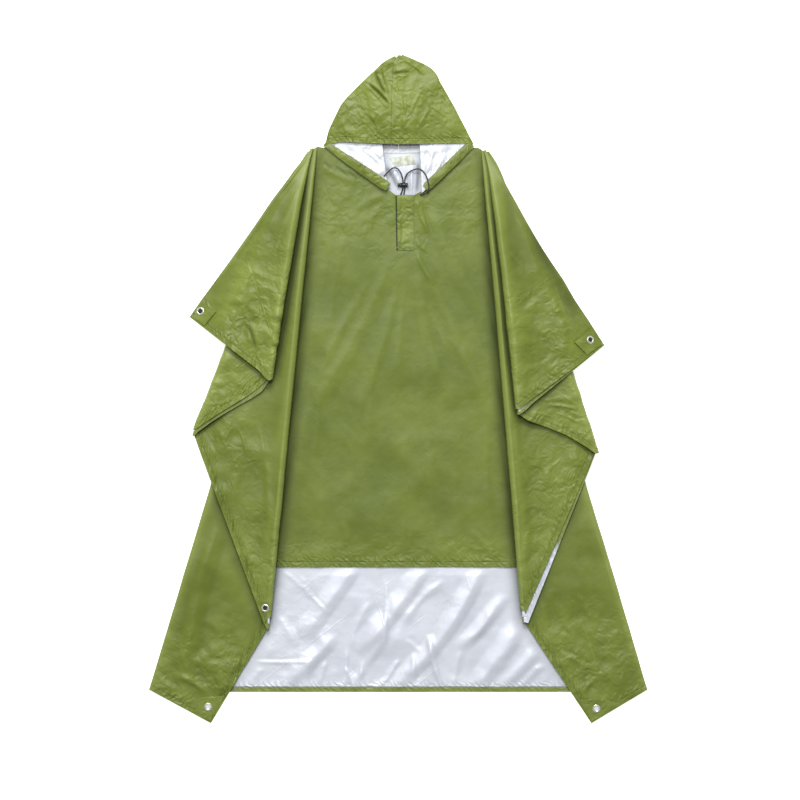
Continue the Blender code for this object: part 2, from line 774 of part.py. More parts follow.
def main():
    clear_scene()
    green = material("green coated cloth", GREEN, 0.45)
    silver = material("silver coated cloth", SILVER, 0.35, 0.3)
    metal = material("eyelet metal", METAL, 0.25, 1.0)
    black = material("black plastic and cord", BLACK, 0.5)
    cream = material("label cloth", CREAM, 0.7)

    heights = pile_up()
    front = sheet_object("front_panel", panel_columns(heights, "front"), green)
    back = sheet_object("back_panel", panel_columns(heights, "back"), silver)
    for side in HOOD:
        sheet_object(f"hood_{side}", hood_columns(heights, side), green)
    bpy.context.view_layer.update()

    tree = surface_under(("front_panel", "back_panel", "hood_left", "hood_right"))
    sheet_object("placket", laid_on(tree, quad_plan(PLACKET, 3, 8), WALL), green)
    sheet_object("neck_label", laid_on(tree, quad_plan(LABEL, 5, 2), WALL), cream)
    for side, path in CASINGS.items():
        strip = strip_plan(path, CASING_WIDTH, 3, 8)
        columns = laid_on(tree, strip, CASING_WALL, 0.010, 0.020)
        sheet_object(f"casing_{side}", columns, green, CASING_WALL)
    for side, route in CORDS.items():
        cord_object(f"drawcord_{side}", route, black)
    cord_lock(black)
    for name in EYELETS:
        eyelet_with_patch(name, back if name.startswith("E") else front, green, metal)


main()
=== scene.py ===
"""A hooded rain poncho of coated cloth, laid face up with its two sides folded in fan pleats.

Every layer of cloth is a grid of points whose height comes from maps of how the layers settle on
each other, from the ground up, with creases and crumpled places laid over them.
"""

import math

import bpy
import numpy as np
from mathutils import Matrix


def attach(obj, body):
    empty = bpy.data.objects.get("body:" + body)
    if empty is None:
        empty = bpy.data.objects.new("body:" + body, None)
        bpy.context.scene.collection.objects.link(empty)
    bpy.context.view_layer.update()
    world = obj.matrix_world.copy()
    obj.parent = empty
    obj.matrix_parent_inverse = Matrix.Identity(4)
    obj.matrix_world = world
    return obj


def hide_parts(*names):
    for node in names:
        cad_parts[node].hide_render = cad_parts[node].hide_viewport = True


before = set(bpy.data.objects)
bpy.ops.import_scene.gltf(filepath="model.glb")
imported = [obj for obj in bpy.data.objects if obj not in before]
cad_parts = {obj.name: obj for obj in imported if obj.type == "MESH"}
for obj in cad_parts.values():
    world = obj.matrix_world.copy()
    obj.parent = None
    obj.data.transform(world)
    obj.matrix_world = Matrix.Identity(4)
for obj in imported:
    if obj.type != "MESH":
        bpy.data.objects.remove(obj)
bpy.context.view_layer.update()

# ---------------------------------------------------------------- sizes, in metres

WALL = 0.001  # wall that the height maps allow for
CLOTH = 0.0006  # wall of the cloth made here
HEM_TURN = 0.0125  # depth of the turned hem
PANEL_HEM, HOOD_HEM = 0.0007, 0.0006  # how much thicker the cloth is there
STITCH_INSET = 0.0115  # from the hem to its stitches
AIR = 0.0016  # air between the two layers of a level
LEVEL_AIR = 0.0031  # air between a level and what lies under it
SEAM = 0.0004  # air between two layers along a seam
REST = 0.0005  # air under what is sewn on
FLOAT = 0.0009  # how far cloth that nothing lies on stands off what is under it
FOLD_REACH = (0.045, 0.034, 0.045, 0.04)  # how far each fold lifts the cloth, from the ground up
TOP_LOFT = 0.006  # how much more the topmost fold lifts it
SEAM_REACH = 0.025  # how far a seam holds its layers together
NARROW = 0.05  # a stretch of a level narrower than this takes its narrow count of columns
ROWS = {"front": 161, "back": 141}  # points from the shoulder to the hem
ROUND = (-72, -36, 0, 36, 72)  # degrees round a fold, where its points lie
RIM_SHARES = (0.4, 0.75)  # more columns between the last two of a top flap, by share of the way
COVER_POINTS, HOOD_COVER_POINTS = 420, 160  # down each line that bounds a layer's cover

# The height maps: the side of a cell, over how many cells a map is smoothed, and half its size
CELL = 0.004
EASE = 8
PLAN_X, PLAN_Y = 0.68, 0.86

# The folds from the ground up: name, top x and y, a low point's x and y, the y where the front and
# the back panel's hem end it, and how far it lifts the next level
FOLDS = {
    "left": (
        ("ground", -0.201, 0.545, -0.573, -0.692, -0.409, -0.692, 0.003),
        ("ridge", -0.187, 0.546, -0.292, -0.524, -0.524, -0.552, 0.014),
        ("side", -0.226, 0.546, -0.472, -0.094, -0.106, -0.094, 0.006),
        ("inner", -0.203, 0.547, -0.288, 0.023, 0.023, 0.034, 0.01),
        ("shoulder", -0.215, 0.549, -0.48, 0.166, 0.166, 0.166, 0.0),
    ),
    "right": (
        ("ground", 0.204, 0.545, 0.573, -0.692, -0.409, -0.692, 0.003),
        ("ridge", 0.191, 0.546, 0.281, -0.508, -0.508, -0.536, 0.014),
        ("side", 0.243, 0.546, 0.462, -0.147, -0.143, -0.147, 0.008),
        ("inner", 0.208, 0.547, 0.269, -0.046, -0.046, -0.058, 0.01),
        ("shoulder", 0.221, 0.549, 0.4745, 0.101, 0.101, 0.101, 0.0),
    ),
}
# Corners of the hems: side, sheet, level, x, y
CORNERS = (
    ("left", "front", 2, -0.3075, -0.541),
    ("left", "back", 2, -0.3085, -0.54),
    ("right", "front", 2, 0.2925, -0.515),
    ("right", "back", 2, 0.2985, -0.538),
    ("left", "back", 1, -0.431, -0.769),
    ("right", "back", 1, 0.4445, -0.769),
)
FRONT_HEM_Y, BACK_HEM_Y = -0.409, -0.697
# How the pleats are drawn in near the shoulders: y, and the share of their width outside the
# ridges that the left and the right side keep there.
DRAWN_IN = (
    (0.101, 1.0, 1.0), (0.159, 1.0, 0.98), (0.205, 1.0, 0.95), (0.251, 0.99, 0.94),
    (0.32, 0.97, 0.87), (0.389, 0.95, 0.81), (0.435, 0.94, 0.77), (0.481, 0.87, 0.7),
    (0.504, 0.84, 0.64), (0.527, 0.73, 0.53), (0.546, 0.53, 0.34),
)
# x, how far the top edge is raised there, and over what distance in x that fades
ROUNDED = ((-0.188, 0.009, 0.013), (0.184, 0.005, 0.012))
ROUNDED_FADE = (0.505, 0.548)  # the y where that starts, and where it is whole
# x and y along the straight hem of a third level, and how far the hem bows from it in y
BOWED = (
    (
        (-0.471, -0.0943, 0.0), (-0.4635, -0.0895, 0.007), (-0.4253, -0.0649, 0.003),
        (-0.3714, -0.0304, -0.0064), (-0.334, -0.0062, -0.0145), (-0.311, 0.0085, -0.0165),
        (-0.2885, 0.023, 0.0),
    ),
    (
        (0.2686, -0.046, 0.0), (0.2962, -0.0607, -0.005), (0.341, -0.0845, 0.0035),
        (0.386, -0.1081, 0.0095), (0.43, -0.1311, 0.006), (0.4595, -0.1472, 0.0),
    ),
)
BOW_REACH = 0.022  # how far from the hem that fades
FOLD_HIGHLIGHT_REACH = 0.009  # how far beside a fold its cloth is painted paler, as a highlight along the fold
# Where a lower layer's hem on the right side rolls under and bares its silver side: that side's x,
# the depth in y down the third level, the x of the top level's inner corner, and the depth of the
# strip of hem that stays green there. Each is where the change starts and ends.
ROLLED_SIDE, ROLLED_FOOT = (0.1, 0.11), (0.352, 0.372)
ROLLED_CORNER, ROLLED_STRIP = (0.284, 0.302), (0.006, 0.0075)
# The straight lines down from the neck: top x and y, hem x
FRONT_NECK = (
    (-0.164, 0.556, -0.36), (-0.124, 0.5284, -0.27), (-0.076, 0.4953, -0.18),
    (-0.017, 0.4546, -0.09), (-0.006, 0.446, -0.03), (0.036, 0.446, 0.04),
    (0.066, 0.4608, 0.11), (0.1, 0.493, 0.19), (0.135, 0.526, 0.28), (0.166, 0.5556, 0.37),
)
BACK_NECK = (
    (-0.164, 0.556, -0.42), (-0.084, 0.546, -0.22), (0.001, 0.5425, 0.0), (0.094, 0.546, 0.22),
    (0.166, 0.5556, 0.42),
)
# Columns of points across each stretch: the middle's, then a wide stretch and a narrow one on
# each level of a side; and over how many rows a column of that level keeps one point.
MIDDLE_COLUMNS = {"front": (5, 16, 18, 13, 14, 14, 15, 17, 5), "back": (26, 48, 48, 26)}
SIDE_COLUMNS = {
    "front": ((12, 4, 4), (16, 4, 4), (36, 6, 1), (20, 4, 4), (50, 6, 2)),
    "back": ((12, 4, 4), (22, 19, 1), (22, 4, 4), (26, 4, 1), (22, 4, 4)),
}
# How thickly the rows lie down each line: share of the way down, rows there.
EVEN = ((0, 1), (1, 1.3))
THICK = {
    "front": {
        "neck": EVEN, "ground": EVEN,
        "ridge": ((0, 0.3), (0.4, 0.3), (0.48, 2), (1, 2.4)),
        "side": ((0, 0.5), (0.74, 0.5), (0.82, 2), (1, 2.4)),
        "inner": EVEN, "shoulder": EVEN,
    },
    "back": {
        "neck": ((0, 1.2), (0.11, 1.2), (0.14, 0.2), (0.74, 0.15), (0.77, 2.4), (1, 2.4)),
        "ground": ((0, 0.3), (0.5, 0.3), (0.58, 2), (1, 2.2)),
        "ridge": ((0, 0.5), (0.7, 0.5), (0.8, 2), (1, 3)),
        "side": ((0, 0.4), (0.6, 0.4), (0.66, 2), (1, 2.2)),
        "inner": ((0, 0.5), (0.75, 0.5), (0.85, 2), (1, 3)),
        "shoulder": EVEN,
    },
}

# The lines of each half of the hood from the peak down, the layers between them, and how many
# columns each layer has and how many rows
HOOD = {
    "left": {
        "front_seam": ((-0.001, 0.768), (-0.012, 0.752), (-0.0145, 0.699), (-0.0175, 0.561)),
        "outline": (
            (-0.007, 0.766), (-0.033, 0.754), (-0.058, 0.729), (-0.097, 0.692),
            (-0.129, 0.658), (-0.148, 0.621), (-0.161, 0.593), (-0.168, 0.56),
        ),
        "flap_edge": ((-0.002, 0.762), (-0.036, 0.561), (-0.024, 0.4612)),
        "tuck": ((-0.0085, 0.761), (-0.084, 0.5466)),
        "back_seam": ((-0.001, 0.765), (0.0008, 0.543)),
    },
    "right": {
        "front_seam": ((0.0005, 0.768), (-0.0115, 0.752), (-0.014, 0.699), (-0.017, 0.561)),
        "outline": (
            (0.009, 0.769), (0.071, 0.743), (0.089, 0.7245), (0.096, 0.706),
            (0.128, 0.651), (0.16, 0.589), (0.173, 0.5635),
        ),
        "flap_edge": ((0.003, 0.763), (0.049, 0.561), (0.054, 0.4515)),
        "tuck": ((0.01, 0.762), (0.094, 0.5466)),
        "back_seam": ((0.0007, 0.765), (0.0012, 0.543)),
    },
}
HOOD_LINES = ("front_seam", "outline", "flap_edge", "tuck", "back_seam")
HOOD_LAYERS = ("crown", "flap", "tuck", "bottom")
HOOD_COLUMNS = (62, 34, 12, 14)
HOOD_ROWS = 121
HOOD_CRUMPLE_AND_SHEEN = 0.9  # how crumpled its cloth is all over, which also sets its painted sheen
# The brim's edge: x, and how far it is raised there
BRIM = (
    (-0.172, 0.0), (-0.155, 0.004), (-0.131, 0.008), (-0.09, 0.006), (-0.04, 0.003),
    (0.0, 0.0015), (0.06, 0.0015), (0.12, 0.0025), (0.15, 0.003), (0.172, 0.0),
)
BRIM_FADE = (0.56, 0.6)  # the y up to which that is whole, and where it ends
CROWN = 0.012  # how high the crown stands up
CROWN_AT, CROWN_REACH = (-0.01, 0.64), (0.09, 0.075)  # its middle, and how far it reaches

CASING_WALL, CASING_CROWN = 0.0014, 0.0016
# A casing's middle line: x, y, width
CASINGS = {
    "left": (
        (-0.169, 0.565, 0.014), (-0.154, 0.5545, 0.0155), (-0.118, 0.5285, 0.019),
        (-0.076, 0.5, 0.0215), (-0.023, 0.4635, 0.0235),
    ),
    "right": (
        (0.169, 0.564, 0.0185), (0.156, 0.552, 0.0195), (0.133, 0.529, 0.02),
        (0.102, 0.499, 0.02), (0.062, 0.461, 0.02),
    ),
}
PLACKET = ((-0.006, 0.4445), (-0.004, 0.319), (0.0355, 0.319), (0.0355, 0.4445))
LABEL = ((-0.021, 0.5325), (-0.01, 0.512), (0.041, 0.518), (0.034, 0.538))
# x, y, the layer that carries it, and the corners of its patch
EYELETS = {
    "A_left": (
        -0.455, 0.179, "front4",
        ((-0.473, 0.1655), (-0.4455, 0.2095), (-0.418, 0.178), (-0.445, 0.1455)),
    ),
    "A_right": (
        0.441, 0.113, "front4",
        ((0.468, 0.1015), (0.4445, 0.1395), (0.404, 0.1075), (0.4335, 0.078)),
    ),
    "D_left": (-0.3055, -0.503, "front2", None),
    "E_left": (
        -0.437, -0.731, "back1",
        ((-0.493, -0.722), (-0.433, -0.763), (-0.399, -0.705), (-0.45, -0.708)),
    ),
    "E_right": (
        0.456, -0.735, "back1",
        ((0.413, -0.714), (0.446, -0.763), (0.512, -0.724), (0.462, -0.711)),
    ),
}
EYELET_OUTER, EYELET_HOLE, EYELET_THICK = 0.0092, 0.0052, 0.0013  # radii, and the flange's height
CORD = 0.003  # its diameter
CORD_POINTS = 90  # along each stretch
# Each free stretch of the drawcord, from its casing through the lock to its bare end
CORDS = {
    "left": (
        (-0.0335, 0.4885, 0.0125), (-0.027, 0.495, 0.0122), (-0.02, 0.502, 0.0112),
        (-0.013, 0.5075, 0.01), (-0.006, 0.5085, 0.009), (0.0, 0.505, 0.0082),
        (0.005, 0.498, 0.0075), (0.0085, 0.49, 0.007), (0.0106, 0.481, 0.0068),
        (0.011, 0.472, 0.0068), (0.011, 0.464, 0.0068), (0.009, 0.456, 0.005),
        (0.006, 0.448, 0.0034), (0.0035, 0.439, 0.0031),
    ),
    "right": (
        (0.05, 0.447, 0.0068), (0.057, 0.447, 0.009), (0.064, 0.45, 0.0122),
        (0.069, 0.456, 0.0144), (0.0705, 0.464, 0.0146), (0.069, 0.473, 0.0145),
        (0.065, 0.488, 0.0139), (0.057, 0.5, 0.012), (0.047, 0.506, 0.0104),
        (0.035, 0.504, 0.0088), (0.024, 0.498, 0.0078), (0.017, 0.489, 0.007),
        (0.0148, 0.48, 0.0068), (0.0147, 0.472, 0.0068), (0.0147, 0.464, 0.0068),
        (0.0144, 0.456, 0.005), (0.013, 0.448, 0.0034), (0.0118, 0.439, 0.0031),
    ),
}
LOCK = (0.0129, 0.469, 0.0068)  # its middle
LOCK_LENGTH, LOCK_RADIUS = 0.0185, 0.0052
BUTTON_LENGTH, BUTTON_RADIUS = 0.005, 0.0042
# Where the cord's tails lift the neck's edge: x, y, height and reach
TAILS = (0.012, 0.44, 0.0046, 0.03)

# Creases of each layer that shows, in millimetres: the two ends, how far the line bows to its left,
# the crease's width and height, and how much steeper its right side is. A negative height is a
# furrow, and one wider than BROAD has flat sides.
BROAD = 31
CREASES = {
    "front0": (
        (-66, 250, -196, -10, -9.2, 34, 2.2, 0.3), (-4, 318, -208, -60, 9.2, 42, 2.6, 0.2),
        (9, 306, -106, -83, 13.8, 33, 1.8, -0.2), (48, 304, 204, 10, -8, 40, 2.4, -0.2),
        (74, 420, 218, 140, -10, 36, 1.8, -0.2), (23, 306, -5, -99, -6.9, 23, 1.2, 0),
        (41, 306, 119, -30, -13.8, 33, 2, -0.2), (32, 292, 73, -191, 6.9, 27.6, 1.2, 0),
        (50, 223, 124, 57, 4.6, 16.1, 1.5, -0.3), (108, 136, 220, -80, 9.2, 33, 1.8, -0.2),
        (192, 129, 227, 2, 4.6, 5.8, 1.1, 0.3), (16, 14, 69, -156, 4.6, 25.3, 1.2, 0),
        (43, 437, 67, 363, -4.6, 7, 3, 0.4), (52, 428, 74, 352, -2.3, 6.5, 2.6, -0.3),
        (41, 343, 66, 315, -2.3, 6, 2.6, 0.3), (36, 423, 55, 435, 0, 5, 1.6, 0),
        (41, 315, 87, 237, -4.6, 11.5, 2.4, 0.2), (-186, 528, -76, 484, -3, 9, -1.8, 0.2),
        (-190, 519, -92, 474, -4, 13, 3.2, 0.3), (119, 499, 193, 543, -6.9, 6.9, 2.4, 0.4),
        (133, 508, 186, 534, 4.6, 6.9, -1.6, 0), (101, 483, 165, 508, -4.6, 6.9, 1.2, 0.2),
        (-164, 501, -79, 490, 6.9, 6.9, 2, 0.3), (-196, 515, -83, 488, 9.2, 9.2, 1.8, -0.3),
        (-175, 520, -143, 515, 0, 5.1, 1.2, 0), (-69, 471, -21, 455, 2.3, 4.6, 1.2, 0.3),
        (-56, 478, -17, 448, 2.3, 4.6, 1, 0), (-23, 448, -106, 405, -6.9, 11.5, 1.6, 0.2),
        (-19, 439, -83, 347, -6.9, 13.8, 1.5, 0), (-157, 435, -184, 228, 6.9, 18.4, 1.4, 0.2),
        (-122, 361, -157, 136, -6.9, 18.4, 1.2, 0), (-111, -117, -122, -393, 6.9, 25.3, 1, 0),
        (131, -140, 147, -393, -6.9, 25.3, 1, 0), (4, -94, 9, -393, 6.9, 27.6, 0.8, 0),
        (-60, 90, -83, -186, 6.9, 20.7, 1, 0.2), (73, -117, 89, -370, -4.6, 20.7, 0.8, 0.2),
        (165, -324, 223, -396, 4.6, 9.2, 1.4, 0.3), (-175, -186, -189, -375, 4.6, 16.1, 1, 0),
        (202, -94, 216, -347, -4.6, 13.8, 1, 0.2), (-184, -14, -198, -163, 4.6, 13.8, 1.2, 0.3),
        (-134, -301, -106, -398, 4.6, 11.5, 0.9, 0.2), (-226, -301, -212, -402, -2.3, 9.2, 0.9, 0),
    ),
    "front2": (
        (-414, -97, -391, -120, 0, 5.5, 1.6, 0.3), (-371, -87, -348, -170, 6.9, 6.9, 2, 0.4),
        (-410, -108, -396, -136, 2.3, 5.5, 1.2, 0), (-431, -131, -410, -168, -2.3, 6, 1.6, 0.3),
        (-396, -133, -350, -140, 4.6, 5.5, 1, 0), (-375, -212, -405, -260, -6.9, 9.2, 2.6, 0.4),
        (-348, -172, -375, -235, -6.9, 9.2, 1.8, 0.2), (-421, -244, -380, -237, 2.3, 5.5, 1.2, 0.2),
        (-288, -108, -297, -310, -6.9, 13.8, 1.8, 0.2), (-322, -78, -302, -255, 6.9, 11.5, 1.6, 0),
        (-267, -186, -281, -393, -4.6, 11.5, 1.6, 0.2),
        (-419, -292, -378, -301, 2.3, 5.5, 1.4, 0.2), (-410, -317, -382, -310, 0, 5.1, 1.1, 0),
        (-380, -338, -343, -363, 2.3, 6, 1.4, 0.3), (-364, -382, -325, -384, -2.3, 5.5, 1.2, 0.2),
        (-311, -455, -286, -430, 2.3, 5.1, 1.8, 0.3), (-345, -432, -304, -439, 2.3, 5.5, 1.2, 0.2),
        (-311, -467, -299, -494, 0, 5.1, 1.4, 0.3), (328, -191, 377, -154, -6.9, 9.2, 1.8, 0.3),
        (374, -191, 420, -200, -4.6, 6, 1.5, 0.3), (319, -221, 386, -241, 6.9, 6.9, 1.6, 0.2),
        (351, -205, 400, -267, 4.6, 6.9, 1.3, 0), (397, -129, 411, -191, 2.3, 9.2, 1.6, 0.2),
        (269, -85, 276, -159, 0, 9.2, 1.2, 0), (328, -262, 370, -283, 2.3, 5.1, 1.4, 0.2),
        (333, -278, 363, -294, 0, 5.1, 1.1, 0), (299, -400, 326, -379, 0, 5.1, 1.4, 0.2),
        (303, -301, 289, -462, -4.6, 11.5, 1.4, 0.2), (276, -186, 294, -393, 4.6, 11.5, 1.2, 0),
    ),
    "front4": (
        (-214, 536, -436, 218, -3, 8, 2.6, 0.3), (226, 534, 452, 128, 2, 8, 2.4, 0.3),
        (-222, 512, -405, 262, 11.5, 34, 1.8, -0.2), (-235, 458, -295, 347, 6.9, 9.2, 1.8, 0.3),
        (-260, 384, -290, 292, -4.6, 6.9, 1.5, 0.3), (-347, 150, -327, 94, 2.3, 5.5, -2.6, 0.3),
        (-340, 152, -322, 90, 4.6, 6.9, 2.4, 0.4), (-311, 143, -274, 80, 4.6, 6.9, 2.4, 0.4),
        (-339, 140, -334, 71, -2.3, 6.9, 1.6, 0), (-389, 126, -348, 110, 4.6, 6.9, 1.6, 0.2),
        (-405, 182, -350, 205, 4.6, 6.9, 1.5, 0.3), (-387, 214, -313, 195, -9.2, 6.9, 1.8, 0.2),
        (-322, 239, -272, 205, 6.9, 6.9, 2, 0.3), (-332, 292, -263, 274, -6.9, 6.9, 2, 0.4),
        (-313, 260, -263, 246, -4.6, 6, 1.4, 0.2), (-364, 320, -313, 292, 6.9, 9.2, 1.6, 0.2),
        (-299, 193, -279, 124, -4.6, 6.9, 1.4, 0.2), (-428, 163, -396, 177, 2.3, 5.5, 1.2, 0.2),
        (-382, 78, -313, 39, 2.3, 6.9, 1.2, 0), (259, 308, 296, 269, 4.6, 9.2, 1.8, 0.3),
        (259, 238, 308, 236, 0, 4.1, 1, 0.2), (248, 292, 280, 320, -2.3, 6.9, 1.2, 0.2),
        (269, 177, 319, 191, -4.6, 6.9, 1.6, 0.3), (271, 83, 308, 57, 6.9, 6.9, 1.8, 0.3),
        (262, 46, 308, 39, -4.6, 6, 1.4, 0.2), (368, 129, 400, 136, -2.3, 6, 1.3, 0.2),
        (326, 136, 363, 85, 4.6, 11.5, 1.4, 0.2), (280, 412, 338, 228, 6.9, 18.4, 1.4, 0.2),
        (303, 21, 372, 67, -4.6, 9.2, 1.3, 0.2), (345, 214, 407, 163, 4.6, 11.5, 1.2, 0.2),
    ),
    "back1": (
        (-410, -300, -498, -664, -8, 44, 8.0, 0.1), (-428, -350, -493, -550, -6.9, 13.8, 1.6, 0),
        (-506, -662, -444, -702, 8, 13, 6.0, 0.4), (-500, -610, -478, -672, 2.3, 9, 4.0, 0.3),
        (-402, -590, -372, -622, 4, 9, 4.0, 0.3), (-402, -626, -372, -656, 5, 9, 4.5, 0.3),
        (-368, -557, -348, -582, 0, 6, 1.3, 0.2), (-426, -674, -412, -711, 0, 6.4, 1.8, 0.3),
        (-550, -656, -508, -690, -8, 8, 3.5, 0.3), (-444, -531, -405, -577, 4.6, 11.5, 1.2, 0.2),
        (-465, -715, -405, -743, 2.3, 6.9, 1.4, 0.2), (-387, -485, -419, -577, -4.6, 13.8, 1.2, 0),
        (409, -471, 446, -540, 4.6, 9, 3.6, 0.4), (315, -465, 347, -564, 4.6, 9.2, 1.8, 0.2),
        (340, -564, 400, -577, 6.9, 9.2, 1.6, 0.2), (361, -606, 446, -651, 6, 9, 4.0, 0.4),
        (409, -690, 455, -666, -6, 9, 4.0, 0.3), (446, -660, 425, -720, -4.6, 6.9, 1.8, 0.3),
        (510, -656, 524, -702, 0, 6.9, 1.8, 0.3), (446, -300, 560, -690, 2.3, 20, 4.2, 0.4),
        (489, -469, 540, -632, 4.6, 11.5, 1.6, 0.2), (372, -508, 430, -600, -6.9, 16.1, 1.6, 0.2),
        (386, -577, 372, -642, -2.3, 9.2, 1.6, 0.3), (386, -384, 437, -462, 4.6, 11.5, 1.2, 0),
        (464, -577, 492, -692, 4.6, 11.5, 1.4, 0.2), (338, -485, 372, -462, 2.3, 6.9, 1.2, 0.2),
    ),
    "back3": (
        (-364, 23, -352, -9, 0, 6, 1.8, 0.3), (-396, 76, -339, 46, 4.6, 6.9, 1.6, 0.2),
        (-444, -37, -373, -18, -4.6, 6.9, 1.4, 0.2), (-382, 57, -327, 12, 6.9, 6.9, 1.4, 0.3),
        (-322, 53, -304, 21, 4.6, 5.5, 1.2, 0.2), (-350, 62, -299, 39, 6.9, 5.5, 1.2, 0.2),
        (-424, 21, -391, -30, 2.3, 11.5, 1.2, 0.2), (342, -39, 414, -51, 4.6, 6.9, 2.2, 0.4),
        (328, -25, 397, -16, -4.6, 6.9, 1.4, 0.2), (374, -16, 416, -51, 4.6, 6.9, 1.8, 0.3),
        (361, -55, 416, -80, 2.3, 6.4, 1.4, 0.2), (303, -53, 354, -67, 2.3, 6, 1, 0.2),
        (386, 12, 418, -30, 2.3, 9.2, 1.2, 0.2), (425, -71, 446, -126, 2.3, 6.9, 1.2, 0.2),
    ),
    "back0": (
        (196, -400, -26, -700, 25, 42, 6.4, -0.2), (252, -468, 138, -602, 5, 33, 4.6, -0.2),
        (282, -540, 164, -700, 6, 46, 6.4, -0.2), (332, -588, 224, -700, 3, 32, 4.2, -0.2),
        (-96, -396, -228, -580, 4, 46, 5.4, -0.2), (-140, -560, -280, -700, 4, 40, 5.2, -0.2),
        (69, -560, 104, -692, -6.9, 13, 5.5, 0.4), (330, -630, 270, -690, 2.3, 12, 3, 0.2),
        (-28, -423, -33, -605, 2.3, 6, 2.2, 0.3), (-267, -414, -161, -518, 2.3, 4.4, 2.4, 0.3),
        (-274, -522, -235, -591, 2.3, 12, 2.8, 0.3), (-332, -628, -189, -626, -2.3, 7, 1.8, 0.3),
        (-118, -596, -129, -695, 2.3, 11.5, 3.4, 0.2), (-81, -619, -92, -692, 0, 6.9, 2.2, 0.2),
        (2, -619, -44, -685, 2.3, 9.2, 3, 0.2), (34, -607, 34, -681, 0, 9.2, 2.4, 0.2),
        (326, -635, 338, -681, 0, 12, 1.8, 0.2), (-311, -639, -348, -690, -2.3, 12, 2.2, 0.2),
        (70, -396, -110, -620, 12, 44, 5.0, -0.3), (-20, -540, -110, -690, 4, 34, 3.4, -0.3),
        (108, -439, 4, -550, -9.2, 23, 3, 0.2), (-226, -428, -198, -485, 0, 9.2, 1.5, 0.2),
        (-206, -620, -226, -692, 4, 16.1, 2.5, 0.2), (-168, -623, -184, -688, 0, 9.2, 2, 0.2),
        (142, -600, 124, -688, 0, 11.5, 2.4, 0.2), (-120, -640, -100, -696, 2, 13, 4.5, 0.3),
        (216, -508, 165, -577, 6.9, 13.8, 2.4, 0.2), (271, -577, 234, -623, 2.3, 9.2, 1.6, 0.2),
        (-60, -485, -111, -600, -9.2, 18.4, 2.4, 0.2), (16, -577, 50, -605, 2.3, 9.2, 1.4, 0),
        (32, 513, 29, 451, 0, 6.9, 3.2, 0.2), (-30, 514, 0, 458, 2.3, 10, -3.4, 0.2),
        (45, 524, 41, 450, 1.5, 10, -3.4, 0.2), (-14, 508, 10, 468, -2.3, 8, 3.0, 0.3),
        (18, 500, 24, 448, 1, 7, -2.0, 0.3), (-21, 483, 0, 501, 0, 3.7, 1.6, 0.2),
        (-28, 471, -3, 497, 0, 4.6, 1.4, 0.2), (9, 520, 20, 485, 2.3, 6.9, 1.2, 0.2),
        (46, 527, 48, 458, 0, 6.9, 1.6, 0.3), (0, 485, -12, 451, 2.3, 6.9, 1.4, 0.2),
    ),
    "crown": (
        (-72, 704, -17, 649, 2.3, 5.5, -3.6, 0.3), (-76, 699, -23, 642, 2.3, 6.9, 2.4, 0.4),
        (-53, 729, -26, 676, -2.3, 6, -3, 0.3), (-60, 727, -33, 674, -2.3, 6, 2.2, 0.3),
        (-40, 738, -17, 665, -2.3, 5.1, -1.6, 0.2), (-17, 722, 29, 727, 2.3, 6.4, -2.2, 0.3),
        (-17, 715, 32, 718, 2.3, 6.9, 1.6, 0.3), (48, 676, 25, 623, -2.3, 5.1, 1.8, 0.3),
        (48, 676, 71, 649, 2.3, 5.1, 1.8, 0.3), (25, 623, 39, 593, 2.3, 5.1, 1.4, 0.3),
        (71, 649, 39, 593, 2.3, 5.5, 1.8, 0.3), (-65, 632, -44, 586, 2.3, 6.4, 2, 0.3),
        (-97, 646, -72, 593, 4.6, 9.2, 1.4, 0.2), (-145, 600, -106, 637, -4.6, 9.2, 1.4, 0.2),
        (73, 651, 112, 621, 2.3, 5.1, 1.8, 0.3), (112, 623, 96, 598, 0, 5.1, 1.4, 0.3),
        (11, 757, 66, 713, 4.6, 9.2, 2, 0.3), (50, 727, 41, 745, 0, 5.5, 1.2, 0.2),
        (0, 688, 13, 596, 4.6, 9.2, 1.4, 0.2), (-120, 665, -83, 688, -4.6, 9.2, 1.6, 0.2),
        (87, 702, 110, 656, 4.6, 9.2, 1.4, 0.2), (-5, 637, 2, 586, 0, 6.9, 1, 0.2),
        (-129, 619, -120, 586, 0, 6.9, 1, 0.2), (-63, 570, -49, 586, 0, 4.1, 1.2, 0.3),
        (16, 570, 27, 586, 0, 4.1, 1, 0.3), (41, 568, 52, 586, 0, 4.1, 1.2, 0.3),
        (75, 568, 87, 586, 0, 4.1, 1, 0.3), (-95, 575, -83, 589, 0, 4.1, 1, 0.3),
        (-122, 575, -113, 589, 0, 4.1, 0.8, 0.3), (117, 568, 126, 584, 0, 4.1, 0.8, 0.3),
        (-33, 568, -23, 584, 0, 4.1, 0.8, 0.3),
    ),
    "flap": (
        (-122, 550, -44, 497, -4.6, 9.2, 2.2, 0.2), (-83, 552, -33, 508, 2.3, 6.9, 1.6, 0.3),
        (-143, 552, -74, 508, 4.6, 6.9, 1.4, 0.2), (-60, 554, -33, 522, 0, 5.5, 1.2, 0.2),
        (80, 552, 59, 488, 2.3, 6.9, 2.4, 0.3), (110, 547, 66, 478, 4.6, 9.2, 2.2, 0.2),
        (59, 552, 52, 499, 0, 5.5, 1.2, 0.2), (133, 550, 92, 499, 2.3, 6.9, 1.4, 0.2),
    ),
}
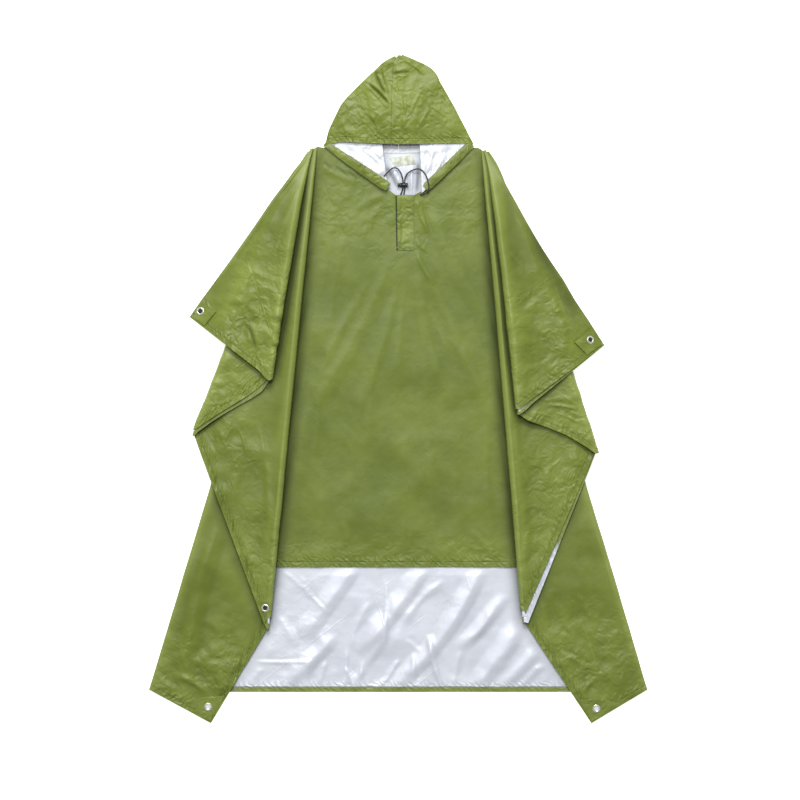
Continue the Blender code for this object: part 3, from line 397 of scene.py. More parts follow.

# Crumpled places of each layer, in millimetres: middle x and y, half widths, how big the facets
# are, how high they stand, and a seed. Those under FINE also add fine bumps and painted sheen.
FINE = 90
CRUMPLES = {
    "front0": (
        (0, 100, 330, 520, 190, 2.6, 3), (-140, -120, 160, 300, 120, 1.5, 4),
        (150, -200, 150, 260, 110, 1.5, 5), (-10, 430, 240, 110, 60, 0.9, 6),
        (0, -385, 320, 40, 46, 1.2, 7),
    ),
    "front2": (
        (-370, -200, 130, 260, 96, 3.0, 11), (-400, -150, 90, 90, 38, 1.6, 12),
        (-330, -420, 80, 150, 44, 1.8, 13), (370, -220, 130, 240, 84, 3.0, 14),
        (400, -190, 90, 80, 40, 1.0, 15), (310, -400, 60, 150, 44, 0.8, 16),
    ),
    "front4": (
        (-340, 250, 190, 300, 100, 2.8, 21), (-310, 190, 85, 150, 46, 2.4, 22),
        (-340, 120, 110, 70, 60, 2.4, 25), (350, 200, 190, 300, 100, 2.8, 23),
        (330, 120, 120, 130, 48, 2.0, 24),
    ),
    "back1": (
        (-460, -560, 190, 260, 110, 3.4, 31), (-440, -660, 120, 110, 42, 2.2, 32),
        (460, -560, 190, 260, 110, 3.4, 33), (430, -640, 130, 130, 42, 2.2, 34),
    ),
    "back3": (
        (-380, 10, 130, 130, 56, 2.4, 41), (370, -60, 130, 110, 58, 2.2, 42),
    ),
    "back0": (
        (0, -560, 330, 170, 150, 3.6, 51), (-230, -560, 90, 110, 58, 1.6, 52),
        (40, -480, 120, 60, 56, 0.9, 53), (0, -680, 330, 26, 42, 1.2, 54),
    ),
    "crown": (
        (0, 660, 190, 120, 70, 2.6, 61), (0, 610, 190, 60, 36, 1.0, 62),
    ),
    "flap": ((0, 520, 180, 60, 34, 2.6, 71),),
}


# ---------------------------------------------------------------- camera


CAMERA_PLACE = (0.0041, -0.0253, 9.0)
LENS, SENSOR, FAR_CLIP = 176.0, 36.0, 60.0  # millimetres, and metres


def make_camera():
    """A long lens straight above the middle of the poncho."""
    lens = bpy.data.cameras.new("camera")
    lens.lens, lens.sensor_width, lens.clip_end = LENS, SENSOR, FAR_CLIP
    camera = bpy.data.objects.new("camera", lens)
    camera.location = CAMERA_PLACE
    bpy.context.scene.collection.objects.link(camera)
    bpy.context.scene.camera = camera


# ---------------------------------------------------------------- meshes


def link_mesh(
    name, points, faces, looks, uv=None, look_of=None, sharp=None, fields=None, nodes=(), slot=None
):
    """A piece from its points and faces, smooth except along the edges between sharp points.

    looks are its materials, and look_of says which of them each face has. fields are values by
    point, and nodes the CAD nodes that it replaces. slot, the record's finish, is not used.
    """
    mesh = bpy.data.meshes.new(name)
    mesh.from_pydata(points.tolist(), [], faces)
    mesh.polygons.foreach_set("use_smooth", np.ones(len(mesh.polygons), bool))
    for look in looks:
        mesh.materials.append(look)
    if look_of is not None:
        mesh.polygons.foreach_set("material_index", np.asarray(look_of, np.int32))
    if uv is not None:
        corners = np.empty(len(mesh.loops), np.int32)
        mesh.loops.foreach_get("vertex_index", corners)
        layer = mesh.uv_layers.new(name="cloth")
        layer.data.foreach_set("uv", uv[corners].astype(np.float32).ravel())
    for label, values in (fields or {}).items():
        field = mesh.attributes.new(label, "FLOAT", "POINT")
        field.data.foreach_set("value", values.astype(np.float32))
    if sharp is not None:
        ends = np.empty(len(mesh.edges) * 2, np.int32)
        mesh.edges.foreach_get("vertices", ends)
        group = sharp[ends.reshape(-1, 2)]
        marks = mesh.attributes.new("sharp_edge", "BOOLEAN", "EDGE")
        marks.data.foreach_set("value", (group[:, 0] > 0) & (group[:, 0] == group[:, 1]))
    mesh.update()
    piece = bpy.data.objects.new(name, mesh)
    bpy.context.scene.collection.objects.link(piece)
    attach(piece, "root")
    if nodes:
        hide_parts(*nodes)
    return piece


def run_of(path):
    """The distance along a path from its start to each of its points."""
    return np.concatenate([[0], np.cumsum(np.linalg.norm(np.diff(path, axis=0), axis=1))])


def points_along(path, at, length):
    """The points of a path at these distances, where length is each point's own distance."""
    return np.column_stack([np.interp(at, length, axis) for axis in np.asarray(path).T])


def grid_normals(points):
    """The upward normals of a grid whose columns run to +X and whose rows run down."""
    across, down = np.gradient(points, axis=0), np.gradient(points, axis=1)
    normal = np.cross(down, across)
    return normal / np.maximum(np.linalg.norm(normal, axis=2), 1e-12)[..., None]


def grid_uv(points):
    """Metres along the last row, and metres up from it square to it."""
    down = np.linalg.norm(np.diff(points, axis=1), axis=2)
    up = np.cumsum(down[:, ::-1], axis=1)[:, ::-1]
    up = np.concatenate([up, np.zeros((len(points), 1))], axis=1)
    hem, climb = np.gradient(points[:, -1], axis=0), points[:, -6] - points[:, -1]
    slant = np.linalg.norm(np.cross(hem, climb), axis=1)
    slant /= np.maximum(np.linalg.norm(hem, axis=1) * np.linalg.norm(climb, axis=1), 1e-12)
    over = np.broadcast_to(run_of(points[:, -1])[:, None], up.shape)
    return np.stack([over, up * np.clip(slant, 0.3, 1)[:, None]], axis=-1)


def cloth_wall(name, points, keep, looks, wall=CLOTH, hem=0.0, fields=None, **declared):
    """A closed wall round a grid: each point moved half the wall along its normal, both ways.

    keep says over how many rows each column keeps one point. Within the turned hem the wall is
    thicker by hem. Rows run from the top edge to the hem.
    """
    columns, rows, _ = points.shape
    keep = np.broadcast_to(keep, columns)
    normal, uv = grid_normals(points), grid_uv(points)
    turned = 1 - step(uv[..., 1], HEM_TURN - 0.0015, HEM_TURN + 0.0015)
    half = (wall + hem * turned)[..., None] / 2
    kept = np.arange(rows) % keep[:, None] == 0
    place = np.full((columns, rows), -1)
    count = int(kept.sum())
    place[kept] = np.arange(count)
    shell = np.concatenate([(points + normal * half)[kept], (points - normal * half)[kept]])
    upper = []
    for column in range(columns - 1):
        one, other = keep[column], keep[column + 1]
        block = max(one, other)
        start = np.arange(0, rows - 1, block)[:, None]
        left = place[column, start + np.arange(0, block + 1, one)]
        right = place[column + 1, start + np.arange(block, -1, -other)]
        upper += np.hstack([left, right]).tolist()
    lower = [[corner + count for corner in face[:1] + face[:0:-1]] for face in upper]
    rim = [place[:, 0], place[-1][kept[-1]], place[::-1, -1], place[0][kept[0]][::-1]]
    loop = np.concatenate([part[:-1] for part in rim])
    after = np.roll(loop, -1)
    edge = np.stack([loop, after, after + count, loop + count], axis=1).tolist()
    sharp = np.zeros(2 * count, int)
    sharp[loop], sharp[loop + count] = 1, 2
    look_of = np.repeat([0, min(1, len(looks) - 1), 0], [len(upper), len(lower), len(edge)])
    if looks[0].name.startswith("silver"):
        look_of[len(upper) + len(lower):] = 1
    faces, both = upper + lower + edge, np.concatenate([uv[kept]] * 2)
    fields = {label: np.concatenate([values[kept]] * 2) for label, values in (fields or {}).items()}
    return link_mesh(name, shell, faces, looks, both, look_of, sharp, fields, **declared)


def round_bar(name, path, radius, looks, sides=14, **declared):
    """A round bar: rings of this radius, or one radius for each point, square to a path."""
    path = np.asarray(path, float)
    ahead = np.gradient(path, axis=0)
    ahead /= np.linalg.norm(ahead, axis=1)[:, None]
    side = np.cross(ahead, (0.0, 0.0, 1.0))
    bad = np.linalg.norm(side, axis=1) < 1e-6
    side[bad] = (1.0, 0.0, 0.0)
    side /= np.linalg.norm(side, axis=1)[:, None]
    up = np.cross(side, ahead)
    turn = np.arange(sides) * 2 * np.pi / sides
    size = np.broadcast_to(radius, len(path))[:, None, None]
    ring = side[:, None] * np.cos(turn)[:, None] + up[:, None] * np.sin(turn)[:, None]
    points = path[:, None] + ring * size
    count = len(path)
    place = np.arange(count * sides).reshape(count, sides)
    a, b = place[:-1], place[1:]
    quads = np.stack([a, np.roll(a, -1, 1), np.roll(b, -1, 1), b], axis=-1).reshape(-1, 4)
    faces = quads.tolist() + [place[0][::-1].tolist(), place[-1].tolist()]
    round_and_down = np.broadcast_arrays(turn / (2 * np.pi), run_of(path)[:, None])
    uv = np.stack(round_and_down, axis=-1).reshape(-1, 2)
    return link_mesh(name, points.reshape(-1, 3), faces, looks, uv, **declared)


def turned(name, profile, place, axis, looks, steps=48, **declared):
    """A closed profile of (radius, height) turned about an axis through a place."""
    axis = np.array(axis, float) / np.linalg.norm(axis)
    side = np.cross(axis, (0.0, 1.0, 0.0) if abs(axis[1]) < 0.9 else (1.0, 0.0, 0.0))
    side /= np.linalg.norm(side)
    other = np.cross(axis, side)
    turn = (np.arange(steps) * 2 * np.pi / steps)[:, None, None]
    profile = np.array(profile)
    ring = np.cos(turn) * side + np.sin(turn) * other
    points = np.array(place) + ring * profile[:, :1] + axis * profile[:, 1:]
    corners = np.arange(steps * len(profile)).reshape(steps, len(profile))
    a, b = corners, np.roll(corners, -1, 0)
    quads = np.stack([a, b, np.roll(b, -1, 1), np.roll(a, -1, 1)], axis=-1)
    faces = quads.reshape(-1, 4).tolist()
    return link_mesh(name, points.reshape(-1, 3), faces, looks, **declared)


# ---------------------------------------------------------------- height maps


GRID_X, GRID_Y = np.meshgrid(
    np.arange(-PLAN_X, PLAN_X + CELL / 2, CELL), np.arange(-PLAN_Y, PLAN_Y + CELL / 2, CELL)
)


INNER = (slice(2, -2), slice(2, -2))  # the cells that are far enough from the maps' edges
INNER_PLAN = np.stack([GRID_X, GRID_Y], axis=-1)[INNER]


def step(values, start, end):
    """0 before start, 1 after end, and a smooth rise between."""
    part = np.clip((values - start) / (end - start), 0, 1)
    return part * part * (3 - 2 * part)


def cover_of(patches):
    """The cells that these patches lie over. A patch is two lines of points, joined straight."""
    cover = np.zeros(GRID_X.shape, bool)
    share = np.linspace(0, 1, 170)[:, None, None]
    for one, other in patches:
        points = one * (1 - share) + other * share
        column = np.rint((points[..., 0] + PLAN_X) / CELL).astype(int)
        row = np.rint((points[..., 1] + PLAN_Y) / CELL).astype(int)
        cover[row, column] = True
    return cover


def spread(values, combine, cells=EASE):
    """Each cell combined with those around it, first along one axis and then along the other."""
    for axis in (0, 1):
        values = combine([np.roll(values, shift, axis) for shift in range(-cells, cells + 1)])
    return values


def highest(stack):
    return np.max(stack, axis=0)


def mean(stack):
    return np.mean(stack, axis=0)


def eased(values, cells=EASE):
    """The highest value near each cell, smoothed by no more than that nearness, so never below."""
    return spread(spread(values, highest, cells), mean, cells)


def height_at(field, points):
    """The field between its cells' middles, from the four around each point."""
    column = (points[..., 0] + PLAN_X) / CELL
    row = (points[..., 1] + PLAN_Y) / CELL
    left, low = np.floor(column).astype(int), np.floor(row).astype(int)
    across, up = column - left, row - low
    lower = field[low, left] * (1 - across) + field[low, left + 1] * across
    upper = field[low + 1, left] * (1 - across) + field[low + 1, left + 1] * across
    return lower * (1 - up) + upper * up


def off_centre(x, y, middle, reach):
    """The square of how far each place lies from the middle of an ellipse, 1 at its edge."""
    return ((x - middle[0]) / reach[0]) ** 2 + ((y - middle[1]) / reach[1]) ** 2


def distance_to(path, x=GRID_X, y=GRID_Y):
    """How far each place lies from a path of straight stretches, and how far along it."""
    nearest, along = np.full(x.shape, 9.0), np.zeros(x.shape)
    for index, (a, b) in enumerate(zip(path, path[1:])):
        dx, dy = b[0] - a[0], b[1] - a[1]
        part = np.clip(((x - a[0]) * dx + (y - a[1]) * dy) / (dx * dx + dy * dy), 0, 1)
        gap = np.hypot(x - a[0] - part * dx, y - a[1] - part * dy)
        closer = gap < nearest
        nearest = np.where(closer, gap, nearest)
        along = np.where(closer, (index + part) / (len(path) - 1), along)
    return nearest, along


# ---------------------------------------------------------------- plan of the panels


def shares(table, count):
    """How far down a line each row lies, so that rows are as thick as the table says there."""
    at = np.linspace(0, 1, 400)
    thick = np.interp(at, *np.array(table).T)
    total = np.concatenate([[0], np.cumsum((thick[1:] + thick[:-1]) / 2)])
    return np.interp(np.linspace(0, 1, count), total / total[-1], at)


def line(top, foot, share):
    """The points at these shares of the way from one place to another."""
    share = np.asarray(share)[:, None]
    return np.array(top) * (1 - share) + np.array(foot) * share


def fold_line(side, fold, sheet, count=None):
    """A fold's visible line from the shoulder to this panel's hem."""
    name, top_x, top_y, low_x, low_y, front_y, back_y, _ = FOLDS[side][fold]
    hem_y = front_y if sheet == "front" else back_y
    hem_x = top_x + (low_x - top_x) * (hem_y - top_y) / (low_y - top_y)
    share = np.linspace(0, 1, count) if count else shares(THICK[sheet][name], ROWS[sheet])
    return line((top_x, top_y), (hem_x, hem_y), share)


def with_corner(inner, outer, side, sheet, level):
    """The lines that bound a level's stretches. A corner of the hem adds one between its sides."""
    for row in CORNERS:
        if row[:3] == (side, sheet, level):
            corner, span = np.array(row[3:]), outer[-1] - inner[-1]
            share = np.clip(np.dot(corner - inner[-1], span) / np.dot(span, span), 0.06, 0.94)
            middle = inner * (1 - share) + outer * share
            down = np.linalg.norm(middle - middle[0], axis=1)[:, None]
            return [inner, middle + down / down[-1] * (corner - middle[-1]), outer]
    return [inner, outer]


def neck_lines(sheet, count=None):
    """The straight lines from the neck edge to the hem, from left to right."""
    rows = FRONT_NECK if sheet == "front" else BACK_NECK
    hem_y = FRONT_HEM_Y if sheet == "front" else BACK_HEM_Y
    share = np.linspace(0, 1, count) if count else shares(THICK[sheet]["neck"], ROWS[sheet])
    return [line((x, y), (hem_x, hem_y), share) for x, y, hem_x in rows]


def level_lines(side, sheet, level, count=None):
    """The two lines that bound a level of one panel."""
    if level == 0:
        inner = neck_lines(sheet, count)[0 if side == "left" else -1]
    else:
        inner = fold_line(side, level - 1, sheet, count)
    return inner, fold_line(side, level, sheet, count)


def patches_of(sheet, level):
    """Both sides' patches of one level of a panel, with its middle where the level is 0."""
    found = []
    for side in FOLDS:
        lines = level_lines(side, sheet, level, COVER_POINTS)
        lines = with_corner(*lines, side, sheet, level)
        found += list(zip(lines, lines[1:]))
    if level == 0:
        lines = neck_lines(sheet, COVER_POINTS)
        found += list(zip(lines, lines[1:]))
    return found


def hood_line(side, name, count=HOOD_ROWS):
    """A line of the hood from the peak down, its points level-spaced in y."""
    points = np.array(HOOD[side][name])
    ys = np.linspace(points[0, 1], points[-1, 1], count)
    xs = np.interp(-ys, -points[:, 1], points[:, 0])
    for _ in range((count // 24) ** 2 if name == "outline" else 0):
        xs[1:-1] = (xs[:-2] + 2 * xs[1:-1] + xs[2:]) / 4
    return np.column_stack([xs, ys])


def hood_cover(one, other):
    """The cells of both halves' layer between these two lines."""
    names = (one, other)
    return cover_of(
        [[hood_line(side, name, HOOD_COVER_POINTS) for name in names] for side in HOOD]
    )


# ---------------------------------------------------------------- how the layers settle


def drawn_in(points):
    """The points with the pleats' tops drawn in towards the ridges, the top edge rounded, and the
    hems of the third levels bowed."""
    x, y = points[..., 0].copy(), points[..., 1].copy()
    heights, *kept = np.array(DRAWN_IN).T
    for side, sign, keep in zip(FOLDS, (-1, 1), kept):
        _, top_x, top_y, low_x, low_y, *_ = FOLDS[side][1]
        ridge = top_x + (low_x - top_x) * (top_y - y) / (top_y - low_y)
        out = (x - ridge) * sign
        x = np.where(out > 0, ridge + sign * out * np.interp(y, heights, keep), x)
    for middle, rise, reach in ROUNDED:
        y += rise * np.exp(-(((x - middle) / reach) ** 2)) * step(points[..., 1], *ROUNDED_FADE)
    for rows in BOWED:
        across, level, shift = np.array(rows).T
        off = (y - np.interp(x, across, level)) / BOW_REACH
        y += np.interp(x, across, shift) * np.exp(-(off**2))
    return np.concatenate([x[..., None], y[..., None], points[..., 2:]], axis=-1)


def lies_low(sheet, level):
    """Whether this panel is the lower of the two on its level: they change places at each fold."""
    return (sheet == "back") == (level % 2 == 0)


def shoulder_pull():
    """1 on the shoulder seams, where the panels meet, falling to 0 a little way from them."""
    pull = np.zeros(GRID_X.shape)
    for side, neck in (("left", FRONT_NECK[0]), ("right", FRONT_NECK[-1])):
        ends = fold_line(side, 4, "front", 2)
        gap, _ = distance_to((ends[1], ends[0], neck[:2]))
        pull = np.maximum(pull, np.exp(-((gap / SEAM_REACH) ** 2)))
    return pull


def fold_loft(level):
    """How far the soft folds that lead up to this level hold it off the one below."""
    loft = np.zeros(GRID_X.shape)
    if level == 0:
        return loft
    for side in FOLDS:
        height = FOLDS[side][level - 1][-1] + (TOP_LOFT if level == 4 else 0.0)
        gap, along = distance_to(fold_line(side, level - 1, "back", 2))
        rise = step(along, 0.0, 0.35) * (1 - 0.75 * step(along, 0.7, 1.0))
        loft = np.maximum(loft, height * rise * np.exp(-((gap / FOLD_REACH[level - 1]) ** 2)))
    return loft


def shoulder_press():
    """The share of their height that the layers keep: half on the shoulder line, all beyond it."""
    press = np.ones(GRID_X.shape)
    for side in FOLDS:
        start = FRONT_NECK[0 if side == "left" else -1][:2]
        gap, _ = distance_to((start, FOLDS[side][4][1:3]))
        share = 0.40 + 0.22 * step(gap, 0.0, 0.014) + 0.38 * step(gap, 0.0, 0.085)
        press = np.minimum(press, share)
    return press


def settle(top, cover):
    """The lowest smooth sheet over what lies under this cover, and where anything does."""
    near = spread(cover.astype(float), highest, 2) > 0
    under = np.where(near, top, 0)
    return eased(under), eased((under > 0).astype(float))


def pile_up():
    """Each layer's middle height, as a map by layer, and its cover, laid from the ground up."""
    heights, covers = {}, {}
    top = np.zeros(GRID_X.shape)
    pull = 0.5 * shoulder_pull()

    def lay(name, cover, field):
        nonlocal top
        heights[name], covers[name] = field, cover
        top = np.where(cover, np.maximum(top, field + WALL / 2), top)

    def lay_level(level):
        """Both panels' layers of one level of the pleats."""
        low, high = ("back", "front") if lies_low("back", level) else ("front", "back")
        cover_low, cover_high = cover_of(patches_of(low, level)), cover_of(patches_of(high, level))
        base, held = settle(top, cover_low | cover_high)
        field = base + WALL / 2 + LEVEL_AIR * held + fold_loft(level)
        apart = (WALL + AIR * (1 - pull) + SEAM * pull) * eased(cover_low.astype(float))
        if level == 0:
            x, y, height, reach = TAILS
            apart = apart + height * np.exp(-((GRID_X - x) ** 2 + (GRID_Y - y) ** 2) / reach**2)
        lay(f"{low}{level}", cover_low, field)
        lay(f"{high}{level}", cover_high, field + apart)

    def lay_hood(name, cover, loft=0.0, seam=0.0):
        """A layer of the hood, held close to what lies under it where seam is 1."""
        base, held = settle(top, cover)
        lay(name, cover, base + WALL / 2 + (AIR * (1 - seam) + SEAM * seam) * held + loft)

    lay_level(0)
    neck, _ = distance_to([row[:2] for row in BACK_NECK])
    lay_hood("bottom", hood_cover("tuck", "back_seam"), seam=np.exp(-((neck / SEAM_REACH) ** 2)))
    lay_hood("tuck", hood_cover("flap_edge", "tuck"))
    lay_hood("flap", hood_cover("outline", "flap_edge"))
    for level in (1, 2, 3, 4):
        lay_level(level)
    far = off_centre(GRID_X, GRID_Y, CROWN_AT, CROWN_REACH)
    lay_hood("crown", hood_cover("front_seam", "outline"), CROWN * np.exp(-far))
    return heights, covers


def open_places(covers):
    """For each layer, 1 where nothing lies on it, falling to 0 a little way before what does."""
    above = np.zeros(GRID_X.shape, bool)
    found = {}
    for name in reversed(list(covers)):
        found[name] = 1 - spread(spread(above.astype(float), highest, 2), mean, 2)
        above = above | covers[name]
    return found


def crease_lift(rows, x, y):
    """How far creases lift each place: along a bowed line a pointed ridge, steeper on its right,
    with a shallow trough on its left, fading out towards both ends. A wide crease has flat sides
    and no trough."""
    lift = np.zeros(x.shape)
    for x0, y0, x1, y1, bow, width, height, lean in rows:
        dx, dy = (x1 - x0) / 1000, (y1 - y0) / 1000
        length = math.hypot(dx, dy)
        px, py = x - x0 / 1000, y - y0 / 1000
        along = (px * dx + py * dy) / length**2
        off = (py * dx - px * dy) / length - 4 * bow / 1000 * along * (1 - along)
        half = max(width / 2000, 0.0024)
        side = off / (half * (1 + lean * np.sign(off)))
        ridge = np.exp(-(np.sqrt(side * side + 0.12) - 0.35) * 1.5)
        trough = np.exp(-((off / half - 2.2) ** 2) / 1.6)
        if width > BROAD:
            ridge, trough = np.clip(1.17 - np.sqrt(side * side + 0.03), 0, 1), 0 * trough
        ends = step(along, -0.04, 0.22) * (1 - step(along, 0.74, 1.04))
        lift += height / 1000 * ends * (ridge - 0.35 * trough)
    return lift


def crumple_lift(x, y, size, seed):
    """Flat facets that meet at bends: the sum of triangle waves in all directions, each wave's
    front swaying by a sine, scaled to about 1 high."""
    draw = np.random.default_rng(seed)
    lift = np.zeros(x.shape)
    for turn in np.arange(7) * np.pi / 7 + draw.uniform(0, 3):
        pitch = size * draw.uniform(0.7, 1.7)
        sway, reach, start = draw.uniform(1.3, 2.6), draw.uniform(0.15, 0.4), draw.uniform(0, 1, 2)
        ahead = (x * math.cos(turn) + y * math.sin(turn)) / pitch
        beside = (y * math.cos(turn) - x * math.sin(turn)) / (pitch * sway)
        wave = (ahead + start[0] + reach * np.sin(2 * np.pi * (beside + start[1]))) % 1
        lift += (np.abs(2 * wave - 1) - 0.5) * pitch / size
    return lift / 2.6


def zone(place, x, y):
    """1 in the middle of a crumpled place, falling to 0 round its ellipse."""
    far = off_centre(x * 1000, y * 1000, place[:2], place[2:])
    return np.exp(-((far / 1.2) ** 2))


EDGE_DROP, EDGE_REACH = 0.0022, 0.006  # how the top flap turns down along its fold
CALM_REACH = 0.026  # how far round an eyelet the creases are held down
FURROW_ROOM = (0.00005, 0.004)  # the least and the most that a furrow may sink
DEEP = 0.011  # how far below what is round it counts as the bottom of a fold, in full painted shade
FURROW = -0.0040  # how deep a furrow pinches its cloth tight, in full painted shade
# Facet heights, in millimetres, that give full bumps and painted sheen: up to SMALL wide, and wider
SMALL, FULL_CRUMPLE_AND_SHEEN = 60, (3.2, 11.0)


class Pile:
    """The settled layers, and the lift of the creases on those that show."""

    def __init__(self):
        heights, self.covers = pile_up()
        press = shoulder_press()
        self.heights = {name: field * press for name, field in heights.items()}
        self.open = open_places(self.covers)
        self.room, below = {}, np.zeros(GRID_X.shape)
        for name, cover in self.covers.items():
            gap = self.heights[name] - below - CLOTH - REST
            self.room[name] = np.clip(spread(-gap, highest, 1) * -1, *FURROW_ROOM)
            below = np.where(cover, self.heights[name] + CLOTH / 2, below)
        self.top = np.zeros(GRID_X.shape)
        for name, cover in self.covers.items():
            level = self.height(name, INNER_PLAN) + CLOTH / 2
            self.top[INNER] = np.where(cover[INNER], level, self.top[INNER])
        self.around = spread(spread(self.top, mean, 4), mean, 3)

    def height(self, name, points):
        """The layer's middle height at these places, creases included."""
        level = height_at(self.heights[name], points)
        if name not in CREASES and name not in CRUMPLES:
            return level
        x, y = points[..., 0], points[..., 1]
        lift = crease_lift(CREASES.get(name, ()), x, y)
        for *place, size, high, seed in CRUMPLES.get(name, ()):
            lift += high / 1000 * zone(place, x, y) * crumple_lift(x, y, size / 1000, seed)
        if name == "front4":
            for side in FOLDS:
                gap, _ = distance_to(fold_line(side, 4, "front", 2), x, y)
                lift -= EDGE_DROP * (1 - step(gap, 0.0, EDGE_REACH))
        for ex, ey, *_ in EYELETS.values():
            lift *= 1 - 0.9 * np.exp(-(((x - ex) ** 2 + (y - ey) ** 2) / CALM_REACH**2) ** 2)
        shown = height_at(self.open[name], points)
        deepest = height_at(self.room[name], points) + FLOAT * 0.7 * shown
        lift = np.where(lift < 0, -deepest * np.tanh(-lift / deepest), lift)
        return level + (lift + FLOAT) * shown

    def depth(self, points):
        """How deep each place lies among what is round it: 0 in the open, 1 well down a fold. The
        cloth's colour is painted darker by it, as shade.
        """
        return np.clip((height_at(self.around, points) - points[..., 2]) / DEEP, 0, 1)

    def pinched(self, name, points):
        """How tightly a furrow pinches the cloth at each place, from 0 to 1, which paints shade
        there.
        """
        rows = [row for row in CREASES.get(name, ()) if row[6] < 0]
        return np.clip(crease_lift(rows, points[..., 0], points[..., 1]) / FURROW, 0, 1)

    def crumple_and_sheen(self, name, points):
        """How crumpled the cloth is at each place, from 0 to 1: its fine bumps and painted sheen.
        """
        total = np.zeros(points.shape[:-1])
        for *place, size, high, _ in CRUMPLES.get(name, ()):
            if size < FINE:
                share = high / FULL_CRUMPLE_AND_SHEEN[0 if size <= SMALL else 1]
                total += share * zone(place, points[..., 0], points[..., 1])
        return np.clip(total, 0, 1)


# ---------------------------------------------------------------- sheets of cloth


def outward(points, sign):
    """The unit plan direction square to a line, towards the side that sign names in x."""
    along = np.gradient(points, axis=0)
    square = np.stack([-along[:, 1], along[:, 0]], axis=1)
    square /= np.linalg.norm(square, axis=1)[:, None]
    return square * np.where(square[:, :1] * sign > 0, 1, -1)


def raised(pile, name, plan):
    """Plan points at the height of their layer."""
    return np.concatenate([plan, pile.height(name, plan)[..., None]], axis=-1)


def round_fold(axis, way, under, over):
    """Columns of points round a fold: a half circle on the axis from one height to the other."""
    turn = np.radians(ROUND)[:, None, None]
    middle, radius = (under + over) / 2, ((over - under) / 2)[None, :, None]
    plan = axis + way * radius * np.cos(turn)
    return np.concatenate([plan, middle[None, :, None] + radius * np.sin(turn)], axis=-1)


def blend(one, other, count, ends=(True, True)):
    """Columns from one line to the other, spread evenly, with or without the two lines."""
    share = np.linspace(0, 1, count + 1)[:, None, None]
    found = one * (1 - share) + other * share
    return found[0 if ends[0] else 1 : None if ends[1] else -1]


def side_runs(pile, side, sheet):
    """One side of a panel from its last neck line out to the shoulder edge of its top flap, as
    runs of (layer or None for a fold, columns of points, rows kept)."""
    runs = []
    bound = None
    for level in range(5):
        name = f"{sheet}{level}"
        inner, outer = level_lines(side, sheet, level)
        inner = inner if bound is None else bound
        wide, narrow, keep = SIDE_COLUMNS[sheet][level]
        if level < 4:
            above = f"{sheet}{level + 1}"
            rim = "back" if lies_low("back", level) else "front"
            shown = fold_line(side, level, sheet)
            way = outward(shown, (-1 if side == "left" else 1) * (1 if level % 2 == 0 else -1))
            gap = pile.height(f"{rim}{level + 1}", shown) - pile.height(f"{rim}{level}", shown)
            outer = shown - way * gap[:, None] / 2
        lines = with_corner(inner, outer, side, sheet, level)
        widths = [np.linalg.norm(a[-1] - b[-1]) for a, b in zip(lines, lines[1:])]
        plan = []
        for index, (one, other) in enumerate(zip(lines, lines[1:])):
            count = narrow if len(lines) > 2 and widths[index] < NARROW else wide
            plan.append(blend(one, other, count, (index == 0 and level > 0, True)))
        if level == 4:
            last = plan[-1]
            close = [last[-1] * share + last[-2] * (1 - share) for share in RIM_SHARES]
            plan[-1] = np.concatenate([last[:-1], close, last[-1:]])
        plan = np.concatenate(plan)
        runs.append((name, raised(pile, name, plan), keep))
        if level < 4:
            bound = outer
            ends = pile.height(name, bound), pile.height(above, bound)
            fold_keep = (min if rim == sheet else max)(keep, SIDE_COLUMNS[sheet][level + 1][2])
            runs.append((None, round_fold(bound, way, *ends), fold_keep))
    return runs


def panel_runs(pile, sheet):
    """The whole panel's runs of columns from the left shoulder edge to the right one."""
    left, right = side_runs(pile, "left", sheet), side_runs(pile, "right", sheet)
    lines = neck_lines(sheet)
    middle = []
    for index, count in enumerate(MIDDLE_COLUMNS[sheet]):
        middle.append(blend(lines[index], lines[index + 1], count, (index == 0, True)))
    middle = (f"{sheet}0", raised(pile, f"{sheet}0", np.concatenate(middle)), 1)
    return [(name, points[::-1], keep) for name, points, keep in left[::-1]] + [middle] + right


def rolled_hem(name, columns):
    """1 where a lower layer's hem rolls under and bares its silver side, along the foot of the
    right side's third level and at the inner corner of its top one."""
    x, y = columns[..., 0], columns[..., 1]
    if name == "back2":
        return step(x, *ROLLED_SIDE) * step(-y, *ROLLED_FOOT)
    if name == "back4":
        strip = step(grid_uv(columns)[..., 1], *ROLLED_STRIP)
        return step(x, *ROLLED_SIDE) * (1 - step(x, *ROLLED_CORNER)) * strip
    return np.zeros(x.shape)


def near_fold(runs, index):
    """1 round a fold, falling with the distance from it on the levels beside it: painted highlight.
    """
    name, columns, _ = runs[index]
    if not name:
        return np.ones(columns.shape[:2])
    near = np.zeros(columns.shape[:2])
    for other, edge in ((index - 1, 0), (index + 1, -1)):
        if 0 <= other < len(runs) and not runs[other][0]:
            gap = np.linalg.norm(columns[..., :2] - columns[edge, :, :2], axis=-1)
            near = np.maximum(near, np.exp(-gap / FOLD_HIGHLIGHT_REACH))
    return near


